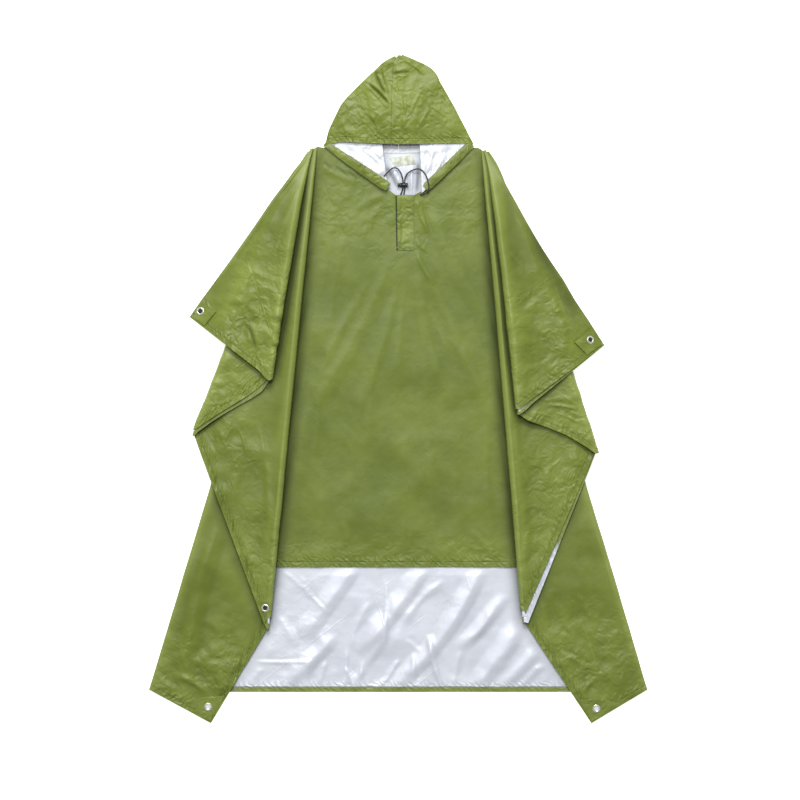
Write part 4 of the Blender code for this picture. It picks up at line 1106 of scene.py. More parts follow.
def panel(pile, sheet, looks):
    """A panel as one piece of cloth, and its runs for what is sewn along its hem."""
    runs = panel_runs(pile, sheet)
    points = drawn_in(np.concatenate([columns for _, columns, _ in runs]))
    keep = np.concatenate([np.full(len(columns), rows) for _, columns, rows in runs])
    slot = "green_coated_cloth" if sheet == "front" else "silver_coated_cloth"
    crumple_and_sheen, pinched, rolled, fold_highlight = [], [], [], []
    for index, (name, columns, _) in enumerate(runs):
        rolled.append(rolled_hem(name, columns))
        fold_highlight.append(near_fold(runs, index))
        beside = [name] if name else [runs[index - 1][0], runs[index + 1][0]]
        crumple_and_sheen.append(np.max([pile.crumple_and_sheen(layer, columns) for layer in beside], axis=0))
        pinched.append(np.max([pile.pinched(layer, columns) for layer in beside], axis=0))
    fold_highlight = np.concatenate(fold_highlight)
    # painted shade where a place lies deep or a furrow pinches it, less of it beside a fold
    deep = np.clip(pile.depth(points) * (1 - 0.6 * fold_highlight) + np.concatenate(pinched), 0, 1)
    fields = {
        "depth": deep, "crumple_and_sheen": np.concatenate(crumple_and_sheen), "rolled": np.concatenate(rolled),
        "fold_highlight": fold_highlight,
    }
    piece = cloth_wall(
        f"cloth_{sheet}", points, keep, looks, hem=PANEL_HEM, fields=fields,
        nodes=(f"{sheet}_panel",), slot=slot,
    )
    return piece, runs


def hood_half(pile, side, looks):
    """Half of the hood: crown, round the outline, flap, round its edge, tuck, and to the seam."""
    sign = -1 if side == "left" else 1
    lines = [hood_line(side, name) for name in HOOD_LINES]
    ways = (None, sign, -sign, sign)
    turns = {}
    for index in (1, 2, 3):
        way = outward(lines[index], ways[index])
        layers = HOOD_LAYERS[index], HOOD_LAYERS[index - 1]
        under, over = (pile.height(layer, lines[index]) for layer in layers)
        lines[index] = lines[index] - way * np.abs(over - under)[:, None] / 2
        turns[index] = way
    columns, pinched = [], []
    for index, name in enumerate(HOOD_LAYERS):
        plan = blend(lines[index], lines[index + 1], HOOD_COLUMNS[index])
        columns.append(raised(pile, name, plan))
        pinched.append(pile.pinched(name, plan))
        if index == 0:
            x, y = plan[..., 0], plan[..., 1]
            columns[0][..., 1] += np.interp(x, *np.array(BRIM).T) * (1 - step(y, *BRIM_FADE))
        if index < 3:
            edge = lines[index + 1]
            ends = pile.height(HOOD_LAYERS[index + 1], edge), pile.height(name, edge)
            columns.append(round_fold(edge, turns[index + 1], *ends)[::-1])
            pinched.append(np.zeros(columns[-1].shape[:2]))
    points, pinched = np.concatenate(columns), np.concatenate(pinched)
    if side == "left":
        points, pinched = points[::-1], pinched[::-1]
    # painted shade where a place lies deep or a furrow pinches it
    deep = np.clip(pile.depth(points) + pinched, 0, 1)
    fields = {"depth": deep, "crumple_and_sheen": np.full(deep.shape, HOOD_CRUMPLE_AND_SHEEN)}
    return cloth_wall(
        f"cloth_hood_{side}", points, 1, looks, hem=HOOD_HEM, fields=fields,
        nodes=(f"hood_{side}",), slot="green_coated_cloth",
    )


# ---------------------------------------------------------------- materials

# GREEN_PAINTED_SHADE and SILVER_PAINTED_SHADE are the painted shade in the bottoms of folds
GREEN_PALE, GREEN_DEEP = (0.192, 0.242, 0.036, 1), (0.106, 0.143, 0.012, 1)
GREEN_HEM, GREEN_PAINTED_SHADE = (0.185, 0.23, 0.052, 1), (0.020, 0.030, 0.001, 1)
SILVER_PALE, SILVER_DEEP = (0.71, 0.74, 0.80, 1), (0.59, 0.62, 0.69, 1)
LINING_PALE, LINING_DEEP = (0.74, 0.77, 0.81, 1), (0.60, 0.63, 0.68, 1)
SILVER_PAINTED_SHADE, SLIT_PAINTED_SHADE = (0.16, 0.17, 0.17, 1), (0.012, 0.018, 0.003, 1)
WEAVE_PITCH, WEAVE_DEPTH = 0.0007, 0.00003


def group_of(name, inputs, outputs):
    """A shader node group with these named sockets: (name, type, value) in, (name, type) out."""
    tree = bpy.data.node_groups.new(name, "ShaderNodeTree")
    for label, kind, value in inputs:
        socket = tree.interface.new_socket(label, in_out="INPUT", socket_type=f"NodeSocket{kind}")
        if value is not None:
            socket.default_value = value
    for label, kind in outputs:
        tree.interface.new_socket(label, in_out="OUTPUT", socket_type=f"NodeSocket{kind}")
    return tree, tree.nodes.new("NodeGroupInput").outputs, tree.nodes.new("NodeGroupOutput").inputs


def given_to(tree, made, values):
    """A node with its sockets linked, or given values, by name or number."""
    for socket, value in values.items():
        if isinstance(value, bpy.types.NodeSocket):
            tree.links.new(value, made.inputs[socket])
        else:
            made.inputs[socket].default_value = value
    return made


def node(tree, kind, links=None, **settings):
    """A node with its settings, and its sockets linked or given values."""
    made = tree.nodes.new(f"ShaderNode{kind}")
    for key, value in settings.items():
        setattr(made, key, value)
    return given_to(tree, made, links or {})


def placed(tree, group, **values):
    """A node group in a material, with its own values."""
    made = tree.nodes.new("ShaderNodeGroup")
    made.node_tree = group
    return given_to(tree, made, values).outputs


def sum_of(tree, operation, one, other=0.0, third=0.0, clamp=False):
    """What a Math node makes of up to three values."""
    links = {0: one, 1: other, 2: third}
    return node(tree, "Math", links, operation=operation, use_clamp=clamp).outputs[0]


def product(tree, one, other):
    return sum_of(tree, "MULTIPLY", one, other)


def vectors(tree, operation, one, other=None, scale=None):
    """What a Vector Math node makes of one vector and another, or a scale."""
    links = {0: one, "Scale": scale} if other is None else {0: one, 1: other}
    return node(tree, "VectorMath", links, operation=operation).outputs


def band(tree, value, start, end, low=0.0, high=1.0):
    """The value's place between start and end, smoothly from low to high."""
    links = {"Value": value, "From Min": start, "From Max": end, "To Min": low, "To Max": high}
    return node(tree, "MapRange", links, interpolation_type="SMOOTHSTEP").outputs["Result"]


def noise(tree, place, scale, detail=2.0, roughness=0.5):
    """From 0 to 1, changing over about a metre divided by the scale."""
    links = {"Vector": place, "Scale": scale, "Detail": detail, "Roughness": roughness}
    return node(tree, "TexNoise", links).outputs["Fac"]


def mixed(tree, share, one, other):
    return node(tree, "Mix", {"Factor": share, 6: one, 7: other}, data_type="RGBA").outputs[2]


def coloured(tree, shader, share, one, other):
    """Gives the shader one colour, the other, or a share of both."""
    tree.links.new(mixed(tree, share, one, other), shader.inputs["Base Color"])


def object_place(tree):
    return node(tree, "TexCoord").outputs["Object"]


def cloth_place(tree):
    return node(tree, "UVMap", uv_map="cloth").outputs[0]


def field(tree, name):
    """The values by point that a piece carries under this name, and 0 where it has none."""
    return node(tree, "Attribute", attribute_name=name).outputs["Fac"]


def paler(colour, times, more=0.0):
    """The colour this many times as bright and a little more, at most white."""
    return tuple(min(1.0, part * times + more) for part in colour[:3]) + (1.0,)


def crumple_group():
    """Flat facets that meet at sharp bends: triangle waves in five directions across a plane that
    a noise has warped, each of its own length, added up round 0, and let through in patches by a
    second noise. Lines gives thin straight fold lines in two directions, in the same patches."""
    tree, given, out = group_of(
        "crumple",
        (("Vector", "Vector", None), ("Size", "Float", 0.03), ("Sway", "Float", 0.5)),
        (("Height", "Float"), ("Lines", "Float")),
    )
    size = sum_of(tree, "DIVIDE", 1.0, given["Size"])
    flat = vectors(tree, "SCALE", given["Vector"], scale=size)[0]
    sway = node(tree, "TexNoise", {"Vector": flat, "Scale": 0.45, "Detail": 1.0})
    shift = vectors(tree, "SUBTRACT", sway.outputs["Color"], (0.5, 0.5, 0.5))[0]
    shift = vectors(tree, "SCALE", shift, scale=product(tree, given["Sway"], 4.0))[0]
    place = vectors(tree, "ADD", flat, shift)[0]
    pitches = (2.1, 0.9, 1.5, 1.1, 1.8)
    total, lines = -sum(pitches) / 12, 0.0
    for index, pitch in enumerate(pitches):
        turn = 0.35 + index * math.pi / len(pitches)
        front = (math.cos(turn) / pitch, math.sin(turn) / pitch, 0.3 / pitch)
        ahead = vectors(tree, "DOT_PRODUCT", place, front)["Value"]
        wave = sum_of(tree, "PINGPONG", sum_of(tree, "ADD", ahead, 0.37 * index), 0.5)
        total = sum_of(tree, "MULTIPLY_ADD", wave, pitch / 3, total)
        if index in (0, 3):
            ahead = vectors(tree, "DOT_PRODUCT", flat, tuple(part / 3 for part in front))["Value"]
            crossed = sum_of(tree, "PINGPONG", ahead, 0.5)
            lines = sum_of(tree, "MAXIMUM", band(tree, crossed, 0.0, 0.012, 1.0, 0.0), lines)
    patchy = noise(tree, place, 0.22)
    tree.links.new(product(tree, total, band(tree, patchy, 0.36, 0.62, 0.3, 1.0)), out["Height"])
    tree.links.new(product(tree, lines, band(tree, patchy, 0.44, 0.58)), out["Lines"])
    return tree


def weave_group():
    """Plain weave: the higher of two sets of round threads, each thread's crown rising and
    falling by turns, from the sines of both distances."""
    tree, given, out = group_of(
        "weave", (("Vector", "Vector", None), ("Pitch", "Float", 0.0006)), (("Height", "Float"),)
    )
    apart = node(tree, "SeparateXYZ", {0: given["Vector"]})
    waves = []
    for axis in (0, 1):
        turn = product(tree, sum_of(tree, "DIVIDE", apart.outputs[axis], given["Pitch"]), math.pi)
        waves.append(sum_of(tree, "SINE", turn))
    both = product(tree, *waves)
    round_x, round_y = (sum_of(tree, "ABSOLUTE", wave) for wave in waves)
    crown_x, crown_y = sum_of(tree, "ADD", round_x, both), sum_of(tree, "SUBTRACT", round_y, both)
    tree.links.new(product(tree, sum_of(tree, "MAXIMUM", crown_x, crown_y), 0.5), out["Height"])
    return tree


def hem_group():
    """A turned and stitched hem: a groove along its stitch line, and slanting puckers that rise
    and fall along it, strongest at the stitches. Reads metres across and metres from the edge.
    Turned is 1 on the turned band, and Line is painted shade in the stitch line's groove, uneven
    along it."""
    tree, given, out = group_of(
        "stitched hem",
        (("Vector", "Vector", None), ("Inset", "Float", STITCH_INSET)),
        (("Height", "Float"), ("Turned", "Float"), ("Line", "Float")),
    )
    apart = node(tree, "SeparateXYZ", {0: given["Vector"]})
    across, up = apart.outputs[0], apart.outputs[1]
    off = sum_of(tree, "ABSOLUTE", sum_of(tree, "SUBTRACT", up, given["Inset"]))
    groove = band(tree, off, 0.0, 0.0018, -1.0, 0.0)
    near = band(tree, off, 0.002, 0.017, 1.0, 0.0)
    slant = sum_of(tree, "MULTIPLY_ADD", up, 0.8, across)
    uneven = noise(tree, given["Vector"], 42.0, 1.0)
    turn = sum_of(tree, "MULTIPLY_ADD", slant, 2 * math.pi / 0.015, product(tree, uneven, 16.0))
    pucker = product(tree, product(tree, sum_of(tree, "SINE", turn), near), uneven)
    tree.links.new(sum_of(tree, "ADD", groove, product(tree, pucker, 1.8)), out["Height"])
    # painted shade in the stitch line's groove
    dark = band(tree, off, 0.0004, 0.0020, 1.0, 0.0)
    tree.links.new(product(tree, dark, band(tree, uneven, 0.3, 0.6, 0.5, 1.0)), out["Line"])
    tree.links.new(band(tree, up, 0.0118, 0.0130, 1.0, 0.0), out["Turned"])
    return tree


def new_look(name, **constants):
    """A material, its node tree and its shader, with values that are the same all over."""
    look = bpy.data.materials.new(name)
    look.use_nodes = True
    shader = look.node_tree.nodes["Principled BSDF"]
    for key, value in constants.items():
        shader.inputs[key.replace("_", " ")].default_value = value
    return look, look.node_tree, shader


def bumped(tree, shader, *heights):
    """Bumps one over another, each from (height, depth in metres)."""
    normal = None
    for height, depth in heights:
        links = {"Height": height, "Distance": depth, "Strength": 1.0}
        if normal is not None:
            links["Normal"] = normal
        normal = node(tree, "Bump", links).outputs[0]
    tree.links.new(normal, shader.inputs["Normal"])


def coated_cloth(name, groups, pale, deep, hem_colour, inside, shade, rough, bends, metallic=0.0):
    """Coated cloth: mottled colour, facets and fold lines where it is crumpled, paled there by
    painted sheen and along the fold lines by painted highlights, a painted highlight along its
    folds, painted shade (darker by shade towards inside) where it lies deep and in the groove of
    its hem's stitch line, weave, and a stitched hem whose turned band may have another colour.
    bends are the depths, in metres, of the large facets, the small ones and the fold lines."""
    look, tree, shader = new_look(name, Specular_IOR_Level=0.42)
    cloth = object_place(tree)
    large = placed(tree, groups["crumple"], Vector=cloth, Size=0.034, Sway=0.5)
    small = placed(tree, groups["crumple"], Vector=cloth, Size=0.013, Sway=0.7)
    weave = placed(tree, groups["weave"], Vector=cloth, Pitch=WEAVE_PITCH)
    hem = placed(tree, groups["stitched hem"], Vector=cloth_place(tree))
    mottle = noise(tree, cloth, 7.0, 5.0, 0.62)
    crumple_and_sheen = field(tree, "crumple_and_sheen")
    mottled = band(tree, mottle, 0.3, 0.7, 0.0, 0.55)
    # crumpled places are paled by painted sheen, over the random mottle
    mottle_and_sheen = sum_of(tree, "MULTIPLY_ADD", crumple_and_sheen, 0.45, mottled, clamp=True)
    # fold lines painted paler, as highlights, more where the cloth is crumpled
    painted_line_highlight = product(tree, large["Lines"], sum_of(tree, "MULTIPLY_ADD", crumple_and_sheen, 0.3, 0.05))
    base = mixed(tree, painted_line_highlight, mixed(tree, mottle_and_sheen, deep, pale), paler(pale, 1.4))
    # a painted highlight along the folds
    fold_highlight = product(tree, field(tree, "fold_highlight"), 0.55)
    base = mixed(tree, fold_highlight, base, paler(pale, 1.15, 0.03))
    flat = sum_of(tree, "SUBTRACT", 1.0, field(tree, "rolled"))
    turned_band = product(tree, hem["Turned"], flat)
    if hem_colour:
        base = mixed(tree, turned_band, base, hem_colour)
    # painted shade: darker towards inside where the cloth lies deep and in the stitch line's groove
    depth = sum_of(tree, "MAXIMUM", field(tree, "depth"), product(tree, hem["Line"], 0.38))
    coloured(tree, shader, product(tree, depth, shade), base, inside)
    rougher = sum_of(tree, "MULTIPLY_ADD", mottle, 0.16, rough - 0.08)
    rougher = sum_of(tree, "MULTIPLY_ADD", depth, 0.40, rougher)
    tree.links.new(rougher, shader.inputs["Roughness"])
    if metallic:
        shine = product(tree, sum_of(tree, "SUBTRACT", 1.0, turned_band), metallic)
        tree.links.new(shine, shader.inputs["Metallic"])
    strong = sum_of(tree, "MULTIPLY_ADD", crumple_and_sheen, 0.9, 0.10)
    crumpled = (large["Height"], small["Height"], large["Lines"])
    bumped(
        tree, shader,
        (noise(tree, cloth, 24.0, 2.0, 0.4), 0.0010),
        *((product(tree, height, strong), bend) for height, bend in zip(crumpled, bends)),
        (hem["Height"], 0.0006),
        (weave["Height"], WEAVE_DEPTH),
    )
    return look


def small_cloth(
    name, groups, size, pitch, scale, tones, dark, pale, bends, rough=None, **constants
):
    """The cloth of a small sewn piece: mottled from dark to pale by a noise of this scale, with
    facets of this size and a weave of this pitch. tones are the least and the most share of pale,
    bends the depths of both in metres, and rough, where given, the least roughness."""
    look, tree, shader = new_look(name, **constants)
    place = object_place(tree)
    facets = placed(tree, groups["crumple"], Vector=place, Size=size, Sway=0.6)
    weave = placed(tree, groups["weave"], Vector=place, Pitch=pitch)
    mottle = noise(tree, place, scale, 4.0)
    coloured(tree, shader, band(tree, mottle, 0.3, 0.7, *tones), dark, pale)
    if rough is not None:
        rougher = sum_of(tree, "MULTIPLY_ADD", mottle, 0.16, rough)
        tree.links.new(rougher, shader.inputs["Roughness"])
    bumped(tree, shader, (facets["Height"], bends[0]), (weave["Height"], bends[1]))
    return look


def slit_cloth(strip):
    """The placket's cloth: the strips' cloth, with painted shade along its open edge, where the
    slit lies.
    """
    look = strip.copy()
    look.name = "green coated cloth of the placket"
    tree = look.node_tree
    shader = tree.nodes["Principled BSDF"]
    over = node(tree, "SeparateXYZ", {0: cloth_place(tree)}).outputs[0]
    # painted shade along the open edge, where the slit's gap would be dark
    gap = band(tree, over, 0.0016, 0.0034, 1.0, 0.0)
    coloured(tree, shader, gap, shader.inputs["Base Color"].links[0].from_socket, SLIT_PAINTED_SHADE)
    return look


def speckled(name, fine, dark, pale, depth, coarse=None, rough=None, **constants):
    """A plain finish: from dark to pale by the coarse noise, which also sets how rough it is
    between two values, and grained by the fine one. A noise is its scale and its detail. Where
    there is no coarse one, the fine one does both."""
    look, tree, shader = new_look(name, **constants)
    place = object_place(tree)
    grain = noise(tree, place, *fine)
    mottle = noise(tree, place, *coarse) if coarse else grain
    coloured(tree, shader, mottle, dark, pale)
    if rough:
        tree.links.new(band(tree, mottle, 0.3, 0.7, *rough), shader.inputs["Roughness"])
    bumped(tree, shader, (grain, depth))
    return look


def braided_cord():
    """Black braid: the higher of two sets of strands that wind round the cord both ways. Its colour
    is painted darker down between the strands, as shade, and paler on their crowns.
    """
    look, tree, shader = new_look("black braided cord", Roughness=0.55, Sheen_Weight=0.2)
    apart = node(tree, "SeparateXYZ", {0: cloth_place(tree)})
    turn = product(tree, apart.outputs[0], 2 * math.pi * 4)
    along = product(tree, apart.outputs[1], 2 * math.pi / 0.0034)
    ways = (sum_of(tree, "SINE", sum_of(tree, way, turn, along)) for way in ("ADD", "SUBTRACT"))
    plait = sum_of(tree, "MAXIMUM", *ways)
    dark, pale = (0.004, 0.004, 0.005, 1), (0.020, 0.020, 0.022, 1)
    coloured(tree, shader, band(tree, plait, -0.5, 1.0), dark, pale)
    bumped(tree, shader, (plait, 0.00022))
    return look


def make_looks():
    """Every finish, by the name that the pieces ask for."""
    groups = {tree.name: tree for tree in (crumple_group(), weave_group(), hem_group())}
    looks = {
        "green": coated_cloth(
            "green coated cloth", groups, GREEN_PALE, GREEN_DEEP, None, GREEN_PAINTED_SHADE, 0.85, 0.45,
            (0.0066, 0.0030, 0.0005),
        ),
        "silver": coated_cloth(
            "silver coated lining", groups, SILVER_PALE, SILVER_DEEP, GREEN_HEM, SILVER_PAINTED_SHADE,
            0.8, 0.44, (0.0026, 0.0010, 0.0012), metallic=0.22,
        ),
        "lining": coated_cloth(
            "silver coated lining of the hood", groups, LINING_PALE, LINING_DEEP, None,
            SILVER_PAINTED_SHADE, 0.8, 0.40, (0.0040, 0.0012, 0.0005), metallic=0.25,
        ),
        "strip": small_cloth(
            "green coated cloth of the strips", groups, 0.011, WEAVE_PITCH, 22.0, (0.15, 0.85),
            GREEN_DEEP, GREEN_PALE, (0.0024, WEAVE_DEPTH), rough=0.38, Roughness=0.46,
        ),
        "label": small_cloth(
            "cream label cloth", groups, 0.010, 0.0011, 120.0, (0.0, 1.0), (0.40, 0.43, 0.33, 1),
            (0.68, 0.71, 0.59, 1), (0.0016, 0.00018), Roughness=0.8, Sheen_Weight=0.15,
        ),
        "metal": speckled(
            "eyelet metal", (900.0, 3.0), (0.70, 0.70, 0.62, 1), (0.92, 0.91, 0.84, 1), 0.00003,
            coarse=(160.0, 2.0), rough=(0.22, 0.38), Metallic=0.9,
        ),
        "plastic": speckled(
            "black moulded plastic", (1600.0, 2.0), (0.008, 0.008, 0.009, 1),
            (0.022, 0.022, 0.024, 1), 0.00004, coarse=(240.0, 2.0), rough=(0.28, 0.42), IOR=1.5,
        ),
        "thread": speckled(
            "green sewing thread", (2200.0, 2.0), (0.12, 0.16, 0.035, 1), (0.24, 0.29, 0.09, 1),
            0.0001, Roughness=0.6, Sheen_Weight=0.3,
        ),
        # painted shade: a dark disc standing where the hole shows only shadow
        "shaded": speckled(
            "shaded cloth in an eyelet", (400.0, 3.0), (0.010, 0.012, 0.004, 1),
            (0.022, 0.028, 0.008, 1), 0.0004, Roughness=0.8,
        ),
        "pale": speckled(
            "pale lining in an eyelet", (400.0, 3.0), (0.55, 0.57, 0.58, 1),
            (0.85, 0.86, 0.86, 1), 0.0004, Roughness=0.8,
        ),
        "cord": braided_cord(),
    }
    looks["placket"] = slit_cloth(looks["strip"])
    return looks


# ---------------------------------------------------------------- what is sewn on

# How many cells each sewn piece has across and down, and how far the sides of two are bowed in
PLACKET_GRID, LABEL_GRID, CASING_GRID, PATCH_GRID = (18, 54), (24, 14), (14, 76), (16, 16)
SIDES_BOW = 0.02
CASING_TOP = 0.566  # the casings lie flat above this y
SEWN_STITCH = {"pitch": 0.0036, "long": 0.0025}  # of the strips and patches
THREAD_LIFT = 0.0001  # from the cloth's face to the middle of a stitch
CORE = 0.00001  # the radius at which a turned piece closes on its axis


def top_map(pile, names):
    """The top of these layers, creases included, where they lie, and 0 elsewhere."""
    top = np.zeros(GRID_X.shape)
    for name in names:
        level = pile.height(name, INNER_PLAN) + CLOTH / 2
        top[INNER] = np.where(pile.covers[name][INNER], np.maximum(level, top[INNER]), top[INNER])
    return top


def laid_on(top, plan, wall, reach=1):
    """Plan points lifted so that a wall round them clears the cloth within reach cells."""
    lifted = height_at(eased(top, reach), plan) + REST / 2 + wall / 2
    return np.concatenate([plan, lifted[..., None]], axis=-1)


def quad_plan(corners, across, down, bow=0.0):
    """A grid of plan points inside four corners, down the first side and across to the other,
    with its sides bowed in."""
    a, b, c, d = (np.array(corner) for corner in corners)
    share = np.linspace(0, 1, across + 1)[:, None, None]
    fall = np.linspace(0, 1, down + 1)[None, :, None]
    plan = (a * (1 - share) + d * share) * (1 - fall) + (b * (1 - share) + c * share) * fall
    if plan[-1, 0, 0] < plan[0, 0, 0]:
        plan = plan[::-1]
    sides = share * (1 - share) * np.abs(2 * fall - 1) + fall * (1 - fall) * np.abs(2 * share - 1)
    return plan + (plan.mean(axis=(0, 1)) - plan) * (4 * bow * sides)


def strip_plan(path, across, down):
    """A strip along a path of (x, y, width): columns run along it, spread square to it, and its
    ends are rounded off."""
    middle = points_along(path, np.linspace(0, len(path) - 1, down + 1), range(len(path)))
    for _ in range(6):
        middle[1:-1] = (middle[:-2] + 2 * middle[1:-1] + middle[2:]) / 4
    middle, width = middle[:, :2], middle[:, 2]
    way = outward(middle, 1)
    ends = np.minimum(np.arange(down + 1), np.arange(down, -1, -1))
    width = width * (0.82 + 0.18 * step(ends, 0, 4))
    offs = (np.arange(across + 1) / across - 0.5)[:, None, None] * width[:, None]
    plan = middle[None] + way[None] * offs
    return plan if middle[0, 1] > middle[-1, 1] else plan[:, ::-1]


def stitches(name, paths, looks, pitch=0.0042, long=0.0029, thick=0.00042):
    """Rows of sewing stitches: short six-sided bars with pinched ends, laid end to end along
    paths, each bar's ends dipping into the cloth."""
    middles, ways = [], []
    for path in paths:
        length = run_of(path)
        at = np.arange(pitch, length[-1] - pitch, pitch)
        place = points_along(path, at, length)
        ahead = points_along(path, at + 0.001, length) - place
        middles.append(place)
        ways.append(ahead / np.linalg.norm(ahead, axis=1)[:, None])
    middles, ways = np.concatenate(middles), np.concatenate(ways)
    side = np.cross(ways, (0, 0, 1.0))
    side /= np.linalg.norm(side, axis=1)[:, None]
    up = np.cross(side, ways)
    turn = np.arange(6) * np.pi / 3
    rings = []
    for part, size, dip in ((-0.5, 0.35, -0.9), (-0.3, 1, 0), (0.3, 1, 0), (0.5, 0.35, -0.9)):
        centre = middles + ways * part * long + up * dip * thick
        ring = side[:, None] * np.cos(turn)[:, None] + up[:, None] * np.sin(turn)[:, None] * 0.7
        rings.append(centre[:, None] + ring * thick * size)
    points = np.stack(rings, axis=1).reshape(-1, 3)
    place = np.arange(len(middles) * 24).reshape(-1, 4, 6)
    a, b = place[:, :-1], place[:, 1:]
    quads = np.stack([a, np.roll(a, -1, 2), np.roll(b, -1, 2), b], axis=-1).reshape(-1, 4).tolist()
    caps = place[:, 0, ::-1].tolist() + place[:, -1].tolist()
    return link_mesh(name, points, quads + caps, [looks["thread"]], slot="green_coated_cloth")


def beside_hem(points, inset, lift):
    """The line this far inside a run of columns' hem, square to it, and lift above the cloth."""
    normal, up = grid_normals(points), grid_uv(points)[..., 1]
    found = []
    for column, rise, height in zip(points, normal, up):
        found.append(points_along((column + rise * lift)[::-1], [inset], height[::-1])[0])
    return np.array(found)


def sew_placket(pile, looks):
    """The strip over the neck slit, with a rounded lip at its open edge and a sagging middle."""
    across, down = PLACKET_GRID
    sewn = laid_on(top_map(pile, ("front0",)), quad_plan(PLACKET, across, down), CLOTH)
    over, fall = np.linspace(0, 1, across + 1)[:, None], np.linspace(0, 1, down + 1)
    lip = np.exp(-(((over - 0.16) / 0.11) ** 2)) * (1 - step(fall, 0.86, 1.0))
    sag = np.exp(-(((over - 0.62) / 0.22) ** 2)) * np.sin(fall * 17 + 1.8 * over)
    sag = sag * step(fall, 0, 0.08) * (1 - step(fall, 0.8, 0.95))
    sewn[..., 2] += 0.0022 * lip + 0.0018 * (sag + 1) / 2 - 0.0006 * step(fall, 0.93, 1.0)
    placket = cloth_wall(
        "chest_placket", sewn, 1, [looks["placket"]], nodes=("placket",), slot="green_coated_cloth"
    )
    edge = sewn + (0, 0, CLOTH / 2 + THREAD_LIFT)
    return placket, [edge[16], edge[2:17, 52], edge[2:17, 40], edge[2, 40:53]]


def sew_label(pile, looks):
    """The bare label at the back of the neck."""
    sewn = laid_on(top_map(pile, ("back0",)), quad_plan(LABEL, *LABEL_GRID, SIDES_BOW), CLOTH)
    return cloth_wall(
        "bare_label", sewn, 1, [looks["label"]], nodes=("neck_label",), slot="label_cloth"
    )


def sew_casings(pile, looks):
    """The two drawcord casings, puffed up and gathered, and the lines of their stitches."""
    under = top_map(pile, ("back0", "front0", "bottom", "tuck", "flap"))
    across, down = CASING_GRID
    over = np.linspace(-1, 1, across + 1)[:, None]
    casings, rows = {}, []
    for side, path in CASINGS.items():
        points = laid_on(under, strip_plan(path, across, down), CASING_WALL, 2)
        x, y = points[..., 0], points[..., 1]
        puff = (1 - over * over) * step(CASING_TOP - y, 0.0, 0.016)
        gather = 0.7 + 0.3 * np.sin(x * 760 + 2.2 * np.sin(x * 190 + over * 1.5))
        points[..., 2] += CASING_CROWN * puff * gather
        casings[side] = cloth_wall(
            f"cord_casing_{side}", points, 1, [looks["strip"]], wall=CASING_WALL,
            nodes=(f"casing_{side}",), slot="green_coated_cloth",
        )
        face = points[:, 6:] + (0, 0, CASING_WALL / 2 + THREAD_LIFT)
        rows += [face[1], face[across - 1]]
    return casings, rows


def sew_patch(name, corners, below, looks):
    """A reinforcement patch, its edges pressed down, and the stitches round it."""
    points = laid_on(below, quad_plan(corners, *PATCH_GRID, SIDES_BOW), CLOTH)
    inside = np.minimum(np.arange(17), np.arange(16, -1, -1))
    points[..., 2] -= 0.0005 * (1 - step(np.minimum(inside[:, None], inside), 0, 2))
    patch = cloth_wall(
        f"eyelet_patch_{name}", points, 1, [looks["strip"]], nodes=(f"patch_{name}",),
        slot="green_coated_cloth",
    )
    edge = points + (0, 0, CLOTH / 2 + THREAD_LIFT)
    rim = np.concatenate([edge[2:15, 2], edge[14, 2:15], edge[14:1:-1, 14], edge[2, 14:1:-1]])
    stitches(f"stitches_patch_{name}", [rim], looks, **SEWN_STITCH)
    return patch


def set_eyelet(name, x, y, top, looks):
    """A rolled flange with a barrel through the cloth, and a disc in its hole: pale lining, or
    painted shade.
    """
    outer, hole = EYELET_OUTER, EYELET_HOLE
    around = np.arange(12) * np.pi / 6
    spots = np.column_stack([x + outer * np.cos(around), y + outer * np.sin(around)])
    heights = height_at(top, spots)
    design = np.column_stack([spots[:, 0] - x, spots[:, 1] - y, np.ones(12)])
    slope_x, slope_y, height = np.linalg.lstsq(design, heights, rcond=None)[0]
    miss = heights - design @ np.array([slope_x, slope_y, height])
    axis = np.array([-slope_x, -slope_y, 1.0])
    place = (x, y, height + max(0.0, miss.max()) * 0.6 + 0.0002)
    crown, half = (outer + hole) / 2, (outer - hole) / 2
    flange = [
        *((crown + half * math.cos(t), EYELET_THICK * math.sin(t) ** 0.8)
          for t in np.linspace(0, np.pi, 9)),
        (hole, -0.0012), (hole + 0.0006, -0.0012), (hole + 0.0008, -0.0003),
        (outer - 0.0008, -0.0004),
    ]
    turned(
        f"eyelet_ring_{name}", flange, place, axis, [looks["metal"]], nodes=(f"eyelet_{name}",),
        slot="eyelet_metal",
    )
    bowl = [
        (hole + 0.0002, 0.0005), (hole * 0.8, 0.0003), (hole * 0.4, 0.0002), (CORE, 0.0002),
        (CORE, -0.0004), (hole + 0.0002, -0.0004),
    ]
    # the pale lining colour at the lower corners, painted shade elsewhere
    inside = looks["pale" if name[0] == "E" else "shaded"]
    turned(f"eyelet_hollow_{name}", bowl, place, axis, [inside], steps=32, slot="eyelet_metal")


def set_eyelets(pile, looks):
    """Every eyelet with its patch. Returns the patches by name."""
    patches = {}
    for name, (x, y, layer, corners) in EYELETS.items():
        top = top_map(pile, (layer,))
        if corners:
            patches[name] = sew_patch(name, corners, top, looks)
            top = eased(top, 1) + REST / 2 + CLOTH
        set_eyelet(name, x, y, top, looks)
    return patches


def stitch_hems(front_runs, back_runs, looks):
    """The stitches of the hems that show."""
    hems = []
    for runs, shown in ((front_runs, "024"), (back_runs, "013")):
        for name, points, _ in runs:
            if name and name[-1] in shown:
                up = 1 if int(name[-1]) % 2 == 0 else -1
                lift = up * (CLOTH / 2 + 0.0005)
                hems.append(beside_hem(drawn_in(points), STITCH_INSET, lift))
    stitches("stitches_hems", hems, looks)


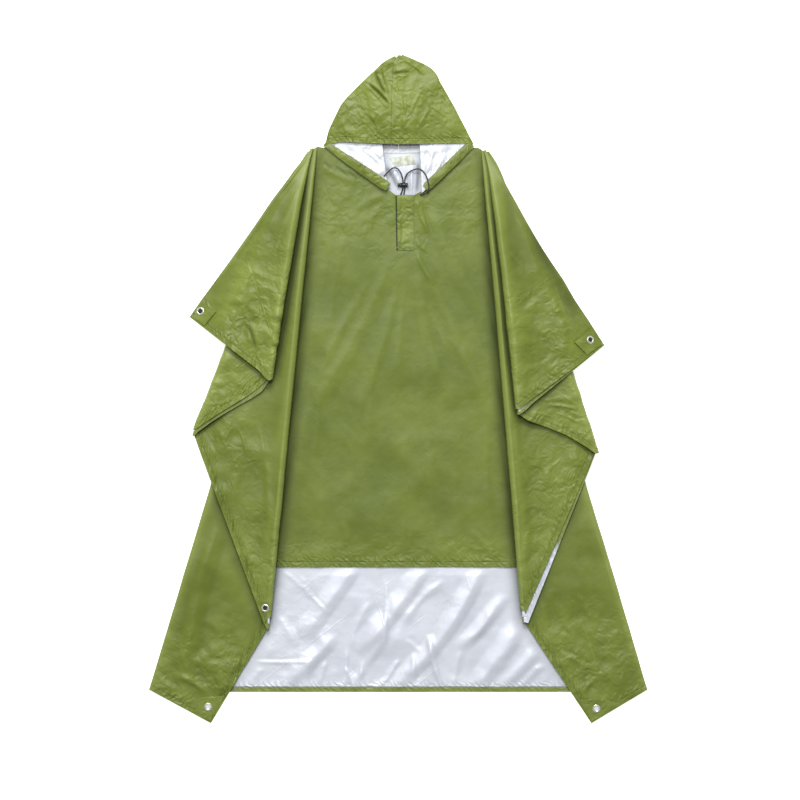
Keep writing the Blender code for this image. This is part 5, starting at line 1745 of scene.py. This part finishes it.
def smooth_route(route, count):
    """Evenly spaced points on a smooth curve through a route: cubic pieces whose slopes at each
    point are those between its neighbours."""
    route = np.array(route)
    slope = np.gradient(route, axis=0)
    at = np.linspace(0, len(route) - 1.000001, 600)
    index = at.astype(int)
    t = (at - index)[:, None]
    a, b, p, q = route[index], route[index + 1], slope[index], slope[index + 1]
    curve = (2 * t**3 - 3 * t**2 + 1) * a + (t**3 - 2 * t**2 + t) * p
    curve = curve + (3 * t**2 - 2 * t**3) * b + (t**3 - t**2) * q
    length = run_of(curve)
    return points_along(curve, np.linspace(0, length[-1], count), length), length[-1]


def make_cords(looks):
    """The two free stretches of the drawcord, and the cord lock that they run through."""
    x, y, z = LOCK
    half, r, b = LOCK_LENGTH / 2, LOCK_RADIUS, BUTTON_RADIUS
    barrel = [
        (CORE, -half), (r * 0.72, -half), (r * 0.9, -half + 0.0004), (r, -half + 0.0014),
        (r, -half + 0.0040), (r * 0.93, -half + 0.0044), (r * 0.93, half - 0.0044),
        (r, half - 0.0040), (r, half - 0.0016), (r * 0.9, half - 0.0005), (r * 0.7, half),
        (CORE, half),
    ]
    plunger = [
        (CORE, -BUTTON_LENGTH), (b * 0.7, -BUTTON_LENGTH), (b * 0.94, -BUTTON_LENGTH + 0.0006),
        (b, -BUTTON_LENGTH + 0.0016), (b, -0.0010), (b * 0.86, 0.0), (CORE, 0.0),
    ]
    body, button = (
        turned(
            f"cord_lock_{name}", profile, place, (1, 0, 0), [looks["plastic"]],
            nodes=(f"cord_lock_{part}",), slot="black_plastic",
        )
        for name, part, profile, place in (
            ("barrel", "body", barrel, LOCK),
            ("plunger", "button", plunger, (x - half - 0.0003, y, z)),
        )
    )
    for side, route in CORDS.items():
        path, length = smooth_route(route, CORD_POINTS)
        piece = round_bar(
            f"drawcord_{side}_braid", path, CORD / 2, [looks["cord"]], nodes=(f"drawcord_{side}",),
            slot="black_cord",
        )


# ---------------------------------------------------------------- floor and light

FLOOR_HALF, FLOOR_Z = 6.0, -0.0002
SKY = 0.38
# name, place, size, watts
LIGHTS = (
    ("window light", (-0.3, 5.5, 5.0), (3.8, 1.9), 450.0),
    ("overhead light", (-0.7, 2.6, 7.0), (2.2, 1.0), 230.0),
)


def make_studio():
    """A pale floor, an even pale sky, a wide soft light beyond the hood and one overhead."""
    look, _, _ = new_look(
        "pale floor", Roughness=0.95, Emission_Strength=0.75, Base_Color=(0.96, 0.96, 0.96, 1),
        Emission_Color=(1, 1, 1, 1),
    )
    mesh = bpy.data.meshes.new("floor")
    around = ((-1, -1), (1, -1), (1, 1), (-1, 1))
    corners = [(x * FLOOR_HALF, y * FLOOR_HALF, FLOOR_Z) for x, y in around]
    mesh.from_pydata(corners, [], [(0, 1, 2, 3)])
    mesh.materials.append(look)
    floor = bpy.data.objects.new("floor", mesh)
    bpy.context.scene.collection.objects.link(floor)
    world = bpy.data.worlds.new("sky")
    bpy.context.scene.world = world
    world.use_nodes = True
    sky = world.node_tree.nodes["Background"]
    sky.inputs["Color"].default_value = (1.0, 1.0, 1.0, 1)
    sky.inputs["Strength"].default_value = SKY
    for name, place, size, power in LIGHTS:
        lamp = bpy.data.lights.new(name, "AREA")
        lamp.shape, lamp.size, lamp.size_y, lamp.energy = "RECTANGLE", size[0], size[1], power
        light = bpy.data.objects.new(name, lamp)
        light.location = place
        x, y, z = place
        light.rotation_euler = (math.atan2(math.hypot(x, y), z), 0.0, math.atan2(x, -y))
        bpy.context.scene.collection.objects.link(light)
    bpy.context.scene.view_settings.view_transform = "Standard"
    bpy.context.scene.view_settings.look = "None"


# ---------------------------------------------------------------- the poncho


def main():
    """Makes every piece."""
    make_camera()
    looks = make_looks()
    make_cords(looks)
    pile = Pile()
    green, silver = looks["green"], looks["silver"]
    front, front_runs = panel(pile, "front", [green, silver])
    back, back_runs = panel(pile, "back", [silver, green])
    halves = {side: hood_half(pile, side, [green, looks["lining"]]) for side in HOOD}
    placket, placket_rows = sew_placket(pile, looks)
    label = sew_label(pile, looks)
    casings, casing_rows = sew_casings(pile, looks)
    stitches("stitches_sewn_strips", casing_rows + placket_rows, looks, **SEWN_STITCH)
    patches = set_eyelets(pile, looks)
    stitch_hems(front_runs, back_runs, looks)

    make_studio()


main()
